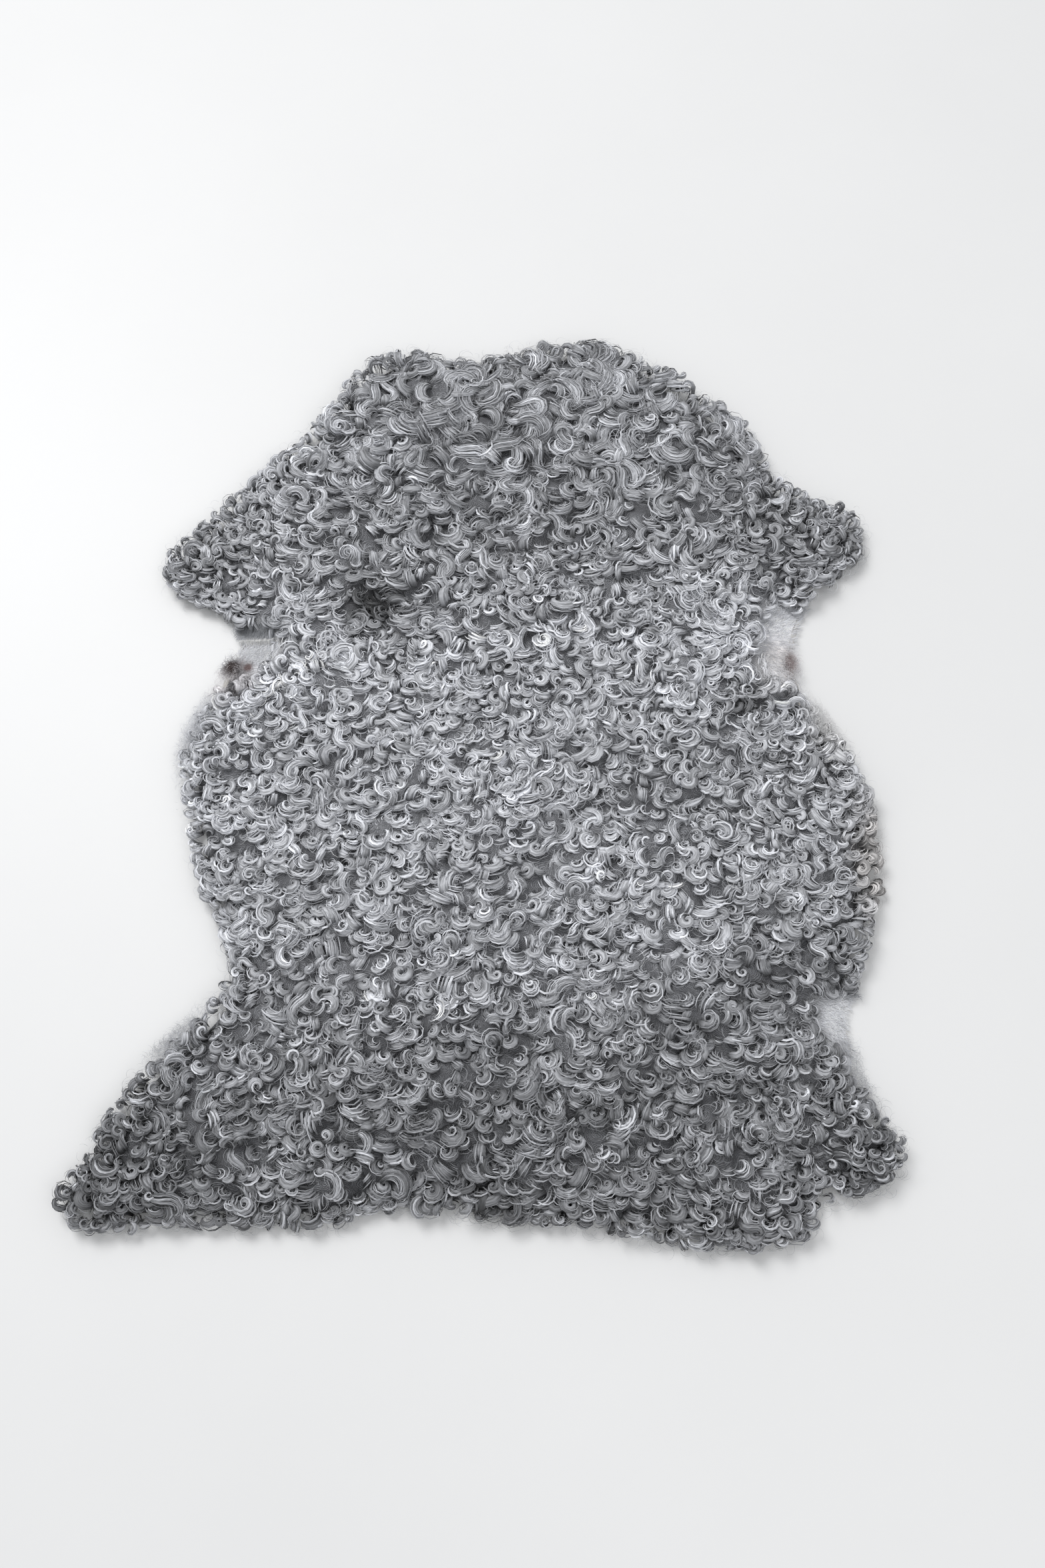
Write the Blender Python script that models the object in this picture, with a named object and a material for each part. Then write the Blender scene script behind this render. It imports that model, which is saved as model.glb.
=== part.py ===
"""A curly grey sheepskin rug, lying flat with its wool up.

The pelt is one skin with its fleece on. It is built as two closed solids: the tanned hide, a flat
sheet with the cut outline, and the fleece, a lumpy slab of wool with curled locks round its rim.
At three places the hair is clipped short and the bare edge of the hide shows.

Metres, +Z up. The neck is at +Y, the hind legs are at -Y, and the rug lies on Z = 0.
"""

import math

import bmesh
import bpy
import numpy as np
from mathutils import Vector
from mathutils.geometry import delaunay_2d_cdt

# The rim of the wool, clockwise from the left end of the neck. Each row is one stretch of it:
# its name, how woolly it is (1 for curled locks, 0 for clipped hair), and its points (across, along).
RIM = (
    ("neck", 1.0, ((-0.150, 0.474), (-0.100, 0.495), (-0.038, 0.482), (0.020, 0.496),
                   (0.105, 0.505), (0.175, 0.483))),
    ("right shoulder", 1.0, ((0.235, 0.436), (0.290, 0.390), (0.307, 0.342), (0.352, 0.299))),
    ("right foreleg", 1.0, ((0.392, 0.287), (0.410, 0.255), (0.400, 0.212), (0.350, 0.170))),
    ("right armpit", 0.0, ((0.331, 0.146), (0.321, 0.110), (0.325, 0.075))),
    ("right flank", 1.0, ((0.350, 0.032), (0.380, -0.012), (0.397, -0.075), (0.399, -0.135),
                          (0.380, -0.210), (0.366, -0.255))),
    ("right groin", 0.0, ((0.350, -0.276), (0.351, -0.308))),
    ("right hind leg", 1.0, ((0.358, -0.345), (0.396, -0.398), (0.393, -0.426), (0.372, -0.453),
                             (0.318, -0.466))),
    ("rump", 1.0, ((0.294, -0.497), (0.205, -0.507), (0.095, -0.488), (-0.020, -0.476),
                   (-0.105, -0.471), (-0.155, -0.486), (-0.280, -0.485))),
    ("left hind leg", 1.0, ((-0.372, -0.485), (-0.399, -0.445), (-0.352, -0.348),
                            (-0.305, -0.298))),
    ("left flank", 1.0, ((-0.266, -0.245), (-0.274, -0.200), (-0.300, -0.150), (-0.312, -0.100),
                         (-0.326, -0.030), (-0.318, 0.025))),
    ("left armpit", 0.0, ((-0.286, 0.085), (-0.272, 0.122))),
    ("left foreleg", 1.0, ((-0.300, 0.153), (-0.352, 0.178), (-0.361, 0.225), (-0.330, 0.258))),
    ("left shoulder", 1.0, ((-0.288, 0.310), (-0.214, 0.388))),
)
# Where the hair is clipped short: centre across and along, half width and half length.
CLIPPED_PATCHES = (
    ("left armpit", -0.262, 0.117, 0.026, 0.024),
    ("right armpit", 0.316, 0.118, 0.028, 0.040),
    ("right groin", 0.342, -0.288, 0.025, 0.025),
)
PATCH_EDGE = (0.75, 1.6)  # a patch's pile starts to rise, and is full, at these shares of its size

HIDE_THICK = 0.002
TOUCH_GAP = 0.0003  # between the hide and the fleece on it

PILE_BODY = 0.027  # height of the fleece over the hide, along the back
PILE_NECK = 0.033  # the longer wool of the neck
PILE_CLIPPED = 0.004
NECK_FROM, NECK_FULL = 0.22, 0.42  # where along the rug the longer wool starts and is full
RIM_SHARE = 0.62  # the pile's height at the rim, against the middle
RIM_SLOPE = 0.070  # width of the band in which the pile comes down to the rim

CLUMP_SPACING = 0.056  # the locks stand together in clumps, about this far apart
CLUMP_JITTER = 0.014
CLUMP_RISE = 0.0045  # the crown of a clump stands this much over the pile
CLUMP_SINK = 0.0060  # and the hollows between clumps lie this much under it

LOCKS = 142  # round the whole rim, the clipped stretches left out
LOCK_SHARE = 0.58  # a lock's root width against the spacing of the locks
LOCK_REACH = 0.017  # how far a lock stands out from the slab
LOCK_SIZES = (0.92, 1.12)  # the locks differ in size between these shares
LOCK_TURNS = (0.50, 1.0)  # and in how far they curl; all curl the same way, clear of the next one
# A lock's sections from its root to its tip, in shares of its own sizes: step along its path,
# heading in degrees (0 straight out, 90 along the rim), width, height of underside and of top.
LOCK_SECTIONS = (
    (0.36, 14.0, 0.92, 0.35, 0.92),
    (0.30, 42.0, 0.80, 0.0, 0.80),
    (0.25, 80.0, 0.60, 0.0, 0.62),
    (0.18, 122.0, 0.34, 0.0, 0.40),
)
WALL_LOW = 0.0025  # height of the underside of a lock's root over the hide
WALL_CLIPPED = 0.0008  # height of the same line where the hair is clipped
WALL_HIGH_SHARE = 0.80  # height of a root's top, against the pile there
WALL_LEAN = 0.002  # the wall leans in by this much
CLIPPED_INSET = 0.003  # the clipped hair stops this short of the cut edge of the hide
HIDE_INSET = 0.004  # the hide's edge lies this far inside the slab under the locks
UNDERCUT = 0.004  # the fleece's underside is this much smaller than the slab

# How finely the shapes are made.
SPAN_STEPS = 12  # from one point of the rim's table to the next
RIM_POINTS = 900
HIDE_POINTS = 200  # along the cut edge
TOP_GRID = 0.0215  # spacing of the points that shape the fleece's top
TOP_JITTER = 0.0027
RIM_CLEAR = 0.014  # the first of those points stay this far inside the rim
FLAT_GRID = 0.070  # spacing of the points that share out the flat faces
SHARP_ANGLE = math.radians(50)


def clear_scene():
    for obj in list(bpy.data.objects):
        bpy.data.objects.remove(obj, do_unlink=True)


def smoothstep(low, high, value):
    share = np.clip((value - low) / (high - low), 0.0, 1.0)
    return share * share * (3.0 - 2.0 * share)


def smooth_loop(points, steps):
    """Columns of values on a closed curve through the points, with steps values to each span."""
    share = (np.arange(steps) / steps)[:, None]
    spans = []
    for i in range(len(points)):
        a, b, c, d = (points[(i + k) % len(points)] for k in (-1, 0, 1, 2))
        spans.append(0.5 * (2 * b + (c - a) * share + (2 * a - 5 * b + 4 * c - d) * share**2
                            + (3 * b - a - 3 * c + d) * share**3))
    return np.concatenate(spans)


def along_loop(loop, shares):
    """The closed loop's columns at these shares of its length."""
    closed = np.vstack([loop, loop[:1]])
    lengths = np.linalg.norm(np.diff(closed[:, :2], axis=0), axis=1)
    travelled = np.concatenate([[0.0], np.cumsum(lengths)])
    places = np.asarray(shares) * travelled[-1]
    return np.column_stack([np.interp(places, travelled, column) for column in closed.T])


def outward(loop):
    """Unit normals of a clockwise loop, pointing away from its inside."""
    along = np.roll(loop[:, :2], -1, axis=0) - np.roll(loop[:, :2], 1, axis=0)
    along /= np.linalg.norm(along, axis=1)[:, None]
    return np.column_stack([-along[:, 1], along[:, 0]])


def rim_loop():
    """The wool's rim as columns of across, along and how woolly it is."""
    anchors = np.array([(x, y, woolly) for _, woolly, points in RIM for x, y in points])
    loop = smooth_loop(anchors, SPAN_STEPS)
    loop[:, 2] = np.clip(loop[:, 2], 0.0, 1.0)
    return along_loop(loop, np.arange(RIM_POINTS) / RIM_POINTS)


def inset(loop, depths):
    moved = loop.copy()
    moved[:, :2] -= outward(loop) * np.asarray(depths)[:, None]
    return moved


def slab_loop(rim):
    """The foot of the locks: the slab's own outline, inside the rim."""
    woolly = rim[:, 2]
    return inset(rim, woolly * LOCK_REACH + (1.0 - woolly) * CLIPPED_INSET)


def hide_loop(rim):
    """The cut edge of the hide, which shows only where the hair is clipped."""
    return inset(rim, rim[:, 2] * (LOCK_REACH + HIDE_INSET))


def pile_height(x, y, from_rim):
    """Height of the fleece over the hide, without its clumps."""
    full = PILE_BODY + (PILE_NECK - PILE_BODY) * smoothstep(NECK_FROM, NECK_FULL, y)
    height = full * (RIM_SHARE + (1.0 - RIM_SHARE) * smoothstep(0.0, RIM_SLOPE, from_rim))
    for _, centre_x, centre_y, half_width, half_length in CLIPPED_PATCHES:
        radius = np.hypot((x - centre_x) / half_width, (y - centre_y) / half_length)
        clipped = 1.0 - smoothstep(*PATCH_EDGE, radius)
        height = height + (PILE_CLIPPED - height) * clipped
    return height


def distance_to(loop, x, y):
    return np.hypot(x[:, None] - loop[None, :, 0], y[:, None] - loop[None, :, 1]).min(axis=1)


def is_inside(loop, x, y):
    """Which points lie inside the closed loop, by counting the edges that a ray crosses."""
    ax, ay = loop[:, 0], loop[:, 1]
    bx, by = np.roll(ax, -1), np.roll(ay, -1)
    spans = (ay[None] > y[:, None]) != (by[None] > y[:, None])
    rise = np.where(by == ay, 1.0, by - ay)
    crossing = ax + (y[:, None] - ay) / rise * (bx - ax)
    return (spans & (x[:, None] < crossing)).sum(axis=1) % 2 == 1


def grid_inside(loop, spacing, clear, jitter=0.0):
    """Points (across, along) of a triangular grid, inside the loop and at least this clear of it."""
    draw = np.random.default_rng(11)
    row_step = spacing * math.sqrt(3.0) / 2.0
    rows_out = math.ceil(np.abs(loop[:, 1]).max() / row_step)
    columns_out = math.ceil(np.abs(loop[:, 0]).max() / spacing)
    points = np.array([((column + 0.5 * (row % 2)) * spacing, row * row_step)
                       for row in range(-rows_out, rows_out + 1)
                       for column in range(-columns_out, columns_out + 1)])
    points += draw.uniform(-jitter, jitter, points.shape)
    x, y = points.T
    return points[is_inside(loop, x, y) & (distance_to(loop, x, y) >= clear)]


def ring_of(bm, loop, heights):
    return [bm.verts.new((x, y, z)) for x, y, z in zip(loop[:, 0], loop[:, 1], heights)]


def join_rings(bm, lower, upper):
    """The band of faces between two rings; face i stands between points i and i + 1."""
    count = len(lower)
    return [bm.faces.new((lower[(i + 1) % count], lower[i], upper[i], upper[(i + 1) % count]))
            for i in range(count)]


def fill_ring(bm, ring, points):
    """Fills the ring with triangles through the points, each (across, along, height)."""
    verts = ring + [bm.verts.new(point) for point in points]
    flat = [Vector(vert.co[:2]) for vert in verts]
    edges = [(i, (i + 1) % len(ring)) for i in range(len(ring))]
    _, _, faces, sources, _, _ = delaunay_2d_cdt(flat, edges, [], 1, 1e-7)
    return [bm.faces.new([verts[sources[i][0]] for i in face]) for face in faces]


def fill_flat(bm, ring, loop, height):
    """Fills the ring with a flat face, shared out into triangles of about one size."""
    points = grid_inside(loop, FLAT_GRID, FLAT_GRID / 3)
    return fill_ring(bm, ring, np.column_stack([points, np.full(len(points), height)]))


def cover_top(bm, ring, slab, floor):
    """The fleece's top: the pile, its clumps of locks, and the hollows between them."""
    x, y = grid_inside(slab, TOP_GRID, RIM_CLEAR, TOP_JITTER).T
    height = pile_height(x, y, distance_to(slab, x, y))
    crowns = grid_inside(slab, CLUMP_SPACING, 0.0, CLUMP_JITTER)
    from_crown = distance_to(crowns, x, y) / (CLUMP_SPACING / math.sqrt(3.0))
    rise = CLUMP_RISE - (CLUMP_RISE + CLUMP_SINK) * np.clip(from_crown, 0.0, 1.0) ** 2
    rise *= np.clip(height / PILE_BODY, 0.1, 1.0)
    fill_ring(bm, ring, np.column_stack([x, y, floor + height + rise]))


def grow_lock(bm, root, draw):
    """Draws a curled, tapering lock out of its root, a face of the wall, by LOCK_SECTIONS."""
    right, left = (root.verts[i].co.to_2d() for i in (0, 1))
    middle, width = (left + right) / 2, (right - left).length
    side = (right - left).normalized()
    out = Vector((-side.y, side.x))
    low = min(vert.co.z for vert in root.verts)
    high = max(vert.co.z for vert in root.verts)
    turn = draw.uniform(*LOCK_TURNS)
    size = LOCK_REACH * draw.uniform(*LOCK_SIZES)
    face = root
    for step, heading, share, under, top in LOCK_SECTIONS:
        angle = math.radians(heading) * turn
        middle = middle + (out * math.cos(angle) + side * math.sin(angle)) * (step * size)
        half = (side * math.cos(angle) - out * math.sin(angle)) * (width * share / 2)
        face = bmesh.ops.extrude_discrete_faces(bm, faces=[face])["faces"][0]
        corners = ((half, low * under), (-half, low * under), (-half, high * top), (half, high * top))
        for vert, (offset, height) in zip(face.verts, corners):
            vert.co = (*(middle + offset), height)


def build_fleece(rim):
    """The slab of wool with its clumps, and the locks that curl out from its rim onto the floor."""
    floor = HIDE_THICK + TOUCH_GAP
    slab = slab_loop(rim)
    starts = np.arange(LOCKS) / LOCKS
    wall = along_loop(slab, np.column_stack([starts, starts + LOCK_SHARE / LOCKS]).ravel())
    woolly = wall[:, 2]
    pile = pile_height(wall[:, 0], wall[:, 1], np.zeros(len(wall)))
    foot = inset(wall, woolly * UNDERCUT)
    bm = bmesh.new()
    under = ring_of(bm, foot, np.full(len(wall), floor))
    low = ring_of(bm, wall, floor + WALL_CLIPPED + (WALL_LOW - WALL_CLIPPED) * woolly)
    high = ring_of(bm, inset(wall, WALL_LEAN * woolly), floor + pile * WALL_HIGH_SHARE)
    fill_flat(bm, under, foot, floor)
    join_rings(bm, under, low)
    band = join_rings(bm, low, high)
    cover_top(bm, high, slab, floor)
    has_lock = np.minimum(woolly, np.roll(woolly, -1)) > 0.5
    draw = np.random.default_rng(5)
    for root in [band[i] for i in range(0, len(band), 2) if has_lock[i]]:
        grow_lock(bm, root, draw)
    bmesh.ops.recalc_face_normals(bm, faces=bm.faces)
    return bm


def build_hide(rim):
    """The tanned hide: a flat sheet, its cut edge straight up and down."""
    edge = along_loop(hide_loop(rim), np.arange(HIDE_POINTS) / HIDE_POINTS)
    bm = bmesh.new()
    sheet = fill_flat(bm, ring_of(bm, edge, np.zeros(len(edge))), edge, 0.0)
    raised = bmesh.ops.extrude_face_region(bm, geom=sheet, use_keep_orig=True)["geom"]
    bmesh.ops.translate(bm, vec=(0, 0, HIDE_THICK),
                        verts=[item for item in raised if isinstance(item, bmesh.types.BMVert)])
    bmesh.ops.recalc_face_normals(bm, faces=bm.faces)
    return bm


def make_material(name, colour, roughness):
    material = bpy.data.materials.new(name)
    material.use_nodes = True
    shader = material.node_tree.nodes["Principled BSDF"]
    shader.inputs["Base Color"].default_value = (*colour, 1.0)
    shader.inputs["Roughness"].default_value = roughness
    shader.inputs["Metallic"].default_value = 0.0
    return material


def add_object(name, bm, material, middle):
    """Makes the object, with the middle of the whole rug on the Z axis."""
    bmesh.ops.translate(bm, vec=(-middle[0], -middle[1], 0.0), verts=bm.verts)
    mesh = bpy.data.meshes.new(name)
    bm.to_mesh(mesh)
    bm.free()
    mesh.materials.append(material)
    mesh.shade_smooth()
    mesh.set_sharp_from_angle(angle=SHARP_ANGLE)
    obj = bpy.data.objects.new(name, mesh)
    bpy.context.scene.collection.objects.link(obj)
    return obj


def main():
    clear_scene()
    rim = rim_loop()
    fleece, hide = build_fleece(rim), build_hide(rim)
    places = np.array([vert.co[:2] for bm in (fleece, hide) for vert in bm.verts])
    middle = (places.min(axis=0) + places.max(axis=0)) / 2
    add_object("fleece", fleece, make_material("grey_wool", (0.26, 0.26, 0.27), 0.75), middle)
    add_object("hide", hide, make_material("tanned_hide", (0.66, 0.64, 0.61), 0.85), middle)


main()
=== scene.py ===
"""The looks of a curly grey sheepskin rug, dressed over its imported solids.

One pelt lies flat with its wool up. The tanned hide is at the bottom, then the dense underwool, and
over that the locks: rosettes, crescents, rolls and waves of wisps, each a rounded strip that is
pointed at both ends. Short white hair covers the clipped places, and loose hairs stand over it all.

Metres, +Z up. The neck is at +Y, the hind legs are at -Y, and the rug lies on Z = 0.
"""

import logging
import math
from collections.abc import Callable
from dataclasses import dataclass, field, fields
from enum import Enum, IntEnum

import bpy
import numpy as np
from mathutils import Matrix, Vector
from mathutils.geometry import delaunay_2d_cdt
from mathutils.kdtree import KDTree


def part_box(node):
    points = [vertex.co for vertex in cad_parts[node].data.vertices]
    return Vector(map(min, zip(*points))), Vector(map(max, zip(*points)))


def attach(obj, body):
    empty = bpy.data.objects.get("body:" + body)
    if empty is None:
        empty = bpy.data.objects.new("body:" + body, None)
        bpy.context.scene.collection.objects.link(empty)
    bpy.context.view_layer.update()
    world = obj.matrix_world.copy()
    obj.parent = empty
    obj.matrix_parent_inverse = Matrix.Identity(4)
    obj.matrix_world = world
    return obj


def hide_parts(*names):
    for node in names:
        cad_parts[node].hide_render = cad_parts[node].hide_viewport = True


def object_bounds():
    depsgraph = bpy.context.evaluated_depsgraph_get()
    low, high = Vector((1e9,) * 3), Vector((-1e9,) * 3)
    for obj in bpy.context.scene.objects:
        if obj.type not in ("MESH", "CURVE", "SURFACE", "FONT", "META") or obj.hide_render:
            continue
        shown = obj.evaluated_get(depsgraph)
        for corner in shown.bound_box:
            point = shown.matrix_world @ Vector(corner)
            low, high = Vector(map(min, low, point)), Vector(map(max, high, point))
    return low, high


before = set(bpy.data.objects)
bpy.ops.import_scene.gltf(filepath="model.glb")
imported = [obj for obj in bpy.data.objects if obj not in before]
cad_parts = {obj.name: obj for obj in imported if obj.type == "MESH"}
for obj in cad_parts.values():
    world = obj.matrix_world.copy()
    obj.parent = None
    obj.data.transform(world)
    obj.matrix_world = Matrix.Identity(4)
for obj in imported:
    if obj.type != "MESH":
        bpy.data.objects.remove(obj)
CAD_BOX = [list(corner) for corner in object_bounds()]

Array = np.ndarray
Span = tuple[float, float]  # from and to, least and greatest, or across and along
Triple = tuple[float, float, float]
Chance = np.random.Generator
Pieces = list[bpy.types.Object]
Rule = Callable[[Array, Array], Array]
LOG = logging.getLogger("rug")
MILLIMETRES = 1000.0  # in a metre
PLACES_AT_ONCE = 4000  # how many places are measured together
NOISE_HALF = (0.6, 0.7)  # half width and half length of the charts of noise
COLOUR_LIMITS = (0.004, 0.92)  # the darkest and the lightest that a hair may be

# The rim of the wool, clockwise from the left end of the neck. Each row is one stretch of it:
# its name, how woolly it is (1 for curled locks, 0 for clipped hair), and its points (across, along).
RIM = (
    ("neck", 1.0, ((-0.150, 0.474), (-0.100, 0.495), (-0.038, 0.482), (0.020, 0.496),
                   (0.105, 0.505), (0.175, 0.483))),
    ("right shoulder", 1.0, ((0.235, 0.436), (0.290, 0.390), (0.307, 0.342), (0.352, 0.299))),
    ("right foreleg", 1.0, ((0.392, 0.287), (0.410, 0.255), (0.400, 0.212), (0.350, 0.170))),
    ("right armpit", 0.0, ((0.331, 0.146), (0.321, 0.110), (0.325, 0.075))),
    ("right flank", 1.0, ((0.350, 0.032), (0.380, -0.012), (0.397, -0.075), (0.399, -0.135),
                          (0.380, -0.210), (0.366, -0.255))),
    ("right groin", 0.0, ((0.350, -0.276), (0.351, -0.308))),
    ("right hind leg", 1.0, ((0.358, -0.345), (0.396, -0.398), (0.393, -0.426), (0.372, -0.453),
                             (0.318, -0.466))),
    ("rump", 1.0, ((0.294, -0.497), (0.205, -0.507), (0.095, -0.488), (-0.020, -0.476),
                   (-0.105, -0.471), (-0.155, -0.486), (-0.280, -0.485))),
    ("left hind leg", 1.0, ((-0.372, -0.485), (-0.399, -0.445), (-0.352, -0.348),
                            (-0.305, -0.298))),
    ("left flank", 1.0, ((-0.266, -0.245), (-0.274, -0.200), (-0.300, -0.150), (-0.312, -0.100),
                         (-0.326, -0.030), (-0.318, 0.025))),
    ("left armpit", 0.0, ((-0.286, 0.085), (-0.272, 0.122))),
    ("left foreleg", 1.0, ((-0.300, 0.153), (-0.352, 0.178), (-0.361, 0.225), (-0.330, 0.258))),
    ("left shoulder", 1.0, ((-0.288, 0.310), (-0.214, 0.388))),
)
# Where the hair is clipped short: centre across and along, half width and half length, and the way
# that it is combed there, in degrees from +X, with how far that way turns over the half length.
CLIPPED_PATCHES = (
    ("left armpit", -0.262, 0.117, 0.026, 0.024, -130.0, 40.0),
    ("right armpit", 0.316, 0.118, 0.028, 0.040, -12.0, 52.0),
    ("right groin", 0.342, -0.288, 0.025, 0.025, -35.0, 30.0),
)
# A pleat in the hide at the left armpit: its two ends, how high it stands and its half width.
PLEAT = ((-0.276, 0.1240), (-0.236, 0.1255), 0.0058, 0.0017)
# How large the locks are about these places: centre, half width, half length, and spacing there.
LOCK_SIZES = (
    ("neck", 0.020, 0.400, 0.200, 0.120, 0.0265),
    ("rump", 0.000, -0.330, 0.300, 0.130, 0.0205),
    ("left foreleg", -0.315, 0.220, 0.080, 0.090, 0.0145),
    ("right foreleg", 0.370, 0.235, 0.080, 0.080, 0.0150),
    ("left flank", -0.290, -0.050, 0.050, 0.140, 0.0160),
    ("right flank", 0.360, -0.080, 0.050, 0.140, 0.0160),
    ("left hind leg", -0.360, -0.420, 0.080, 0.080, 0.0165),
    ("right hind leg", 0.365, -0.430, 0.060, 0.060, 0.0140),
)
# How much lighter or darker the wool is about these places, as a factor on its colour.
SHADES = (
    ("shoulders", 0.020, 0.290, 0.260, 0.110, 0.72),
    ("neck", 0.000, 0.430, 0.280, 0.060, 0.80),
    ("rump", 0.000, -0.400, 0.520, 0.130, 0.56),
    ("left flank", -0.240, 0.085, 0.085, 0.055, 1.30),
    ("right armpit", 0.270, 0.120, 0.080, 0.060, 1.35),
    ("right side", 0.300, -0.020, 0.120, 0.060, 0.84),
    ("right loin", 0.330, -0.240, 0.090, 0.080, 0.80),
    ("left hind leg", -0.370, -0.430, 0.090, 0.070, 0.56),
    ("right hind leg", 0.370, -0.440, 0.060, 0.050, 0.66),
    ("rump's rim", 0.000, -0.495, 0.420, 0.025, 0.66),
    ("left foreleg", -0.330, 0.215, 0.050, 0.050, 0.74),
    ("right foreleg", 0.380, 0.235, 0.060, 0.060, 0.66),
    ("right shoulder", 0.285, 0.285, 0.060, 0.050, 0.80),
    ("neck's rim", 0.020, 0.490, 0.220, 0.022, 0.74),
    ("charcoal spot", -0.131, 0.160, 0.024, 0.021, 0.05),
    ("tail", 0.000, -0.462, 0.026, 0.018, 0.34),
    # The two hollows below are painted shade where the locks part.
    ("right side's hollow", 0.262, 0.052, 0.022, 0.012, 0.42),
    ("hollow of the shoulders", 0.050, 0.338, 0.022, 0.012, 0.62),
)
# White and brown places, and the pleat's painted shade and highlight: centre, half width, half length, how
# well it covers the grey, its colour.
TINTS = (
    ("left armpit", -0.258, 0.109, 0.026, 0.015, 1.0, (0.90, 0.91, 0.95)),
    # Painted shade above the pleat, and a painted highlight on its ridge, whiter than the patch.
    ("left pleat's shade", -0.256, 0.1375, 0.020, 0.0068, 0.95, (0.27, 0.28, 0.30)),
    ("left pleat", -0.256, 0.1243, 0.018, 0.0018, 1.0, (1.0, 1.0, 1.0)),
    ("left haze", -0.288, 0.076, 0.024, 0.014, 0.6, (0.66, 0.60, 0.60)),
    ("left stain", -0.278, 0.094, 0.0070, 0.0070, 1.0, (0.035, 0.016, 0.013)),
    ("left stain's edge", -0.262, 0.0945, 0.0040, 0.0036, 0.85, (0.20, 0.10, 0.09)),
    ("right armpit", 0.318, 0.136, 0.021, 0.018, 1.0, (0.92, 0.93, 0.98)),
    ("right armpit, lower", 0.308, 0.098, 0.016, 0.020, 0.7, (0.84, 0.81, 0.82)),
    ("right stain", 0.317, 0.099, 0.0042, 0.0085, 0.8, (0.20, 0.12, 0.11)),
    ("right groin", 0.341, -0.283, 0.016, 0.019, 1.0, (0.90, 0.91, 0.95)),
    ("right flank's rim", 0.388, -0.125, 0.016, 0.045, 0.5, (0.40, 0.36, 0.32)),
    ("right flank's haze", 0.356, 0.045, 0.020, 0.036, 0.55, (0.86, 0.84, 0.82)),
    ("below the right armpit", 0.292, 0.082, 0.014, 0.016, 0.6, (0.92, 0.92, 0.95)),
)
# Tufts of short brown hair that point every way: centre, how far they spread, and how many hairs.
TUFTS = (
    ("left stain", -0.279, 0.094, 0.0050, 0.0050, 620),
    ("left stain's edge", -0.263, 0.0945, 0.0035, 0.0030, 160),
    ("right stain", 0.317, 0.098, 0.0040, 0.0075, 300),
)
# Stretches of the rim with soft fuzz beyond the locks: centre, half width and half length of each.
FUZZ = (
    ("left flank", -0.310, 0.030, 0.030, 0.045),
    ("left stain", -0.280, 0.090, 0.014, 0.016),
    ("right flank", 0.348, 0.036, 0.022, 0.028),
    ("right stain", 0.322, 0.095, 0.012, 0.018),
    ("right thigh", 0.362, -0.335, 0.016, 0.022),
    ("left thigh", -0.310, -0.305, 0.022, 0.024),
)
# Where no lock grows, so that what lies there shows: centre, half width and half length of each.
BARE = (
    ("left stain", -0.277, 0.093, 0.019, 0.017),
    ("left armpit", -0.258, 0.112, 0.022, 0.020),
    ("right stain", 0.320, 0.100, 0.012, 0.020),
    ("right armpit", 0.320, 0.137, 0.018, 0.016),
    ("right groin", 0.341, -0.283, 0.019, 0.020),
)
# How much farther out than usual the wool stands: centre, half width, half length and distance.
REACHES = (
    ("left hind leg", -0.398, -0.460, 0.034, 0.026, 0.012),
    ("right hind leg", 0.375, -0.465, 0.034, 0.020, -0.011),
    ("right foreleg", 0.392, 0.195, 0.022, 0.022, -0.008),
)
# Where the locks part and leave a dark hollow: centre, half width, half length, and its depth.
PARTINGS = (
    ("neck", 0.050, 0.335, 0.012, 0.010, 0.012),
    ("neck, lower", 0.045, 0.285, 0.011, 0.009, 0.010),
    ("right side", 0.265, 0.055, 0.012, 0.012, 0.010),
    ("neck's rim", -0.110, 0.462, 0.014, 0.010, 0.010),
)


def smoothstep(low: float, high: float, value: Array) -> Array:
    """Eases from 0 to 1 as a value goes from low to high.

    Args:
        low: Where the result leaves 0.
        high: Where the result reaches 1.
        value: The values to ease.

    Returns:
        The eased shares.
    """
    share = np.clip((value - low) / (high - low), 0.0, 1.0)
    return share * share * (3.0 - 2.0 * share)


def unit(vectors: Array) -> Array:
    """Vectors brought to length 1 along their last axis."""
    return vectors / np.maximum(np.linalg.norm(vectors, axis=-1, keepdims=True), 1e-12)


def bump(x: Array, y: Array, across: float, along: float, width: float, length: float) -> Array:
    """A soft round bump of height 1 over a place.

    Args:
        x: Places across the rug.
        y: Places along it.
        across: The bump's centre across.
        along: The bump's centre along.
        width: Its half width, where it is down to a half.
        length: Its half length.

    Returns:
        The bump's height at each place.
    """
    return 0.5 ** (((x - across) / width) ** 2 + ((y - along) / length) ** 2)


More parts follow.
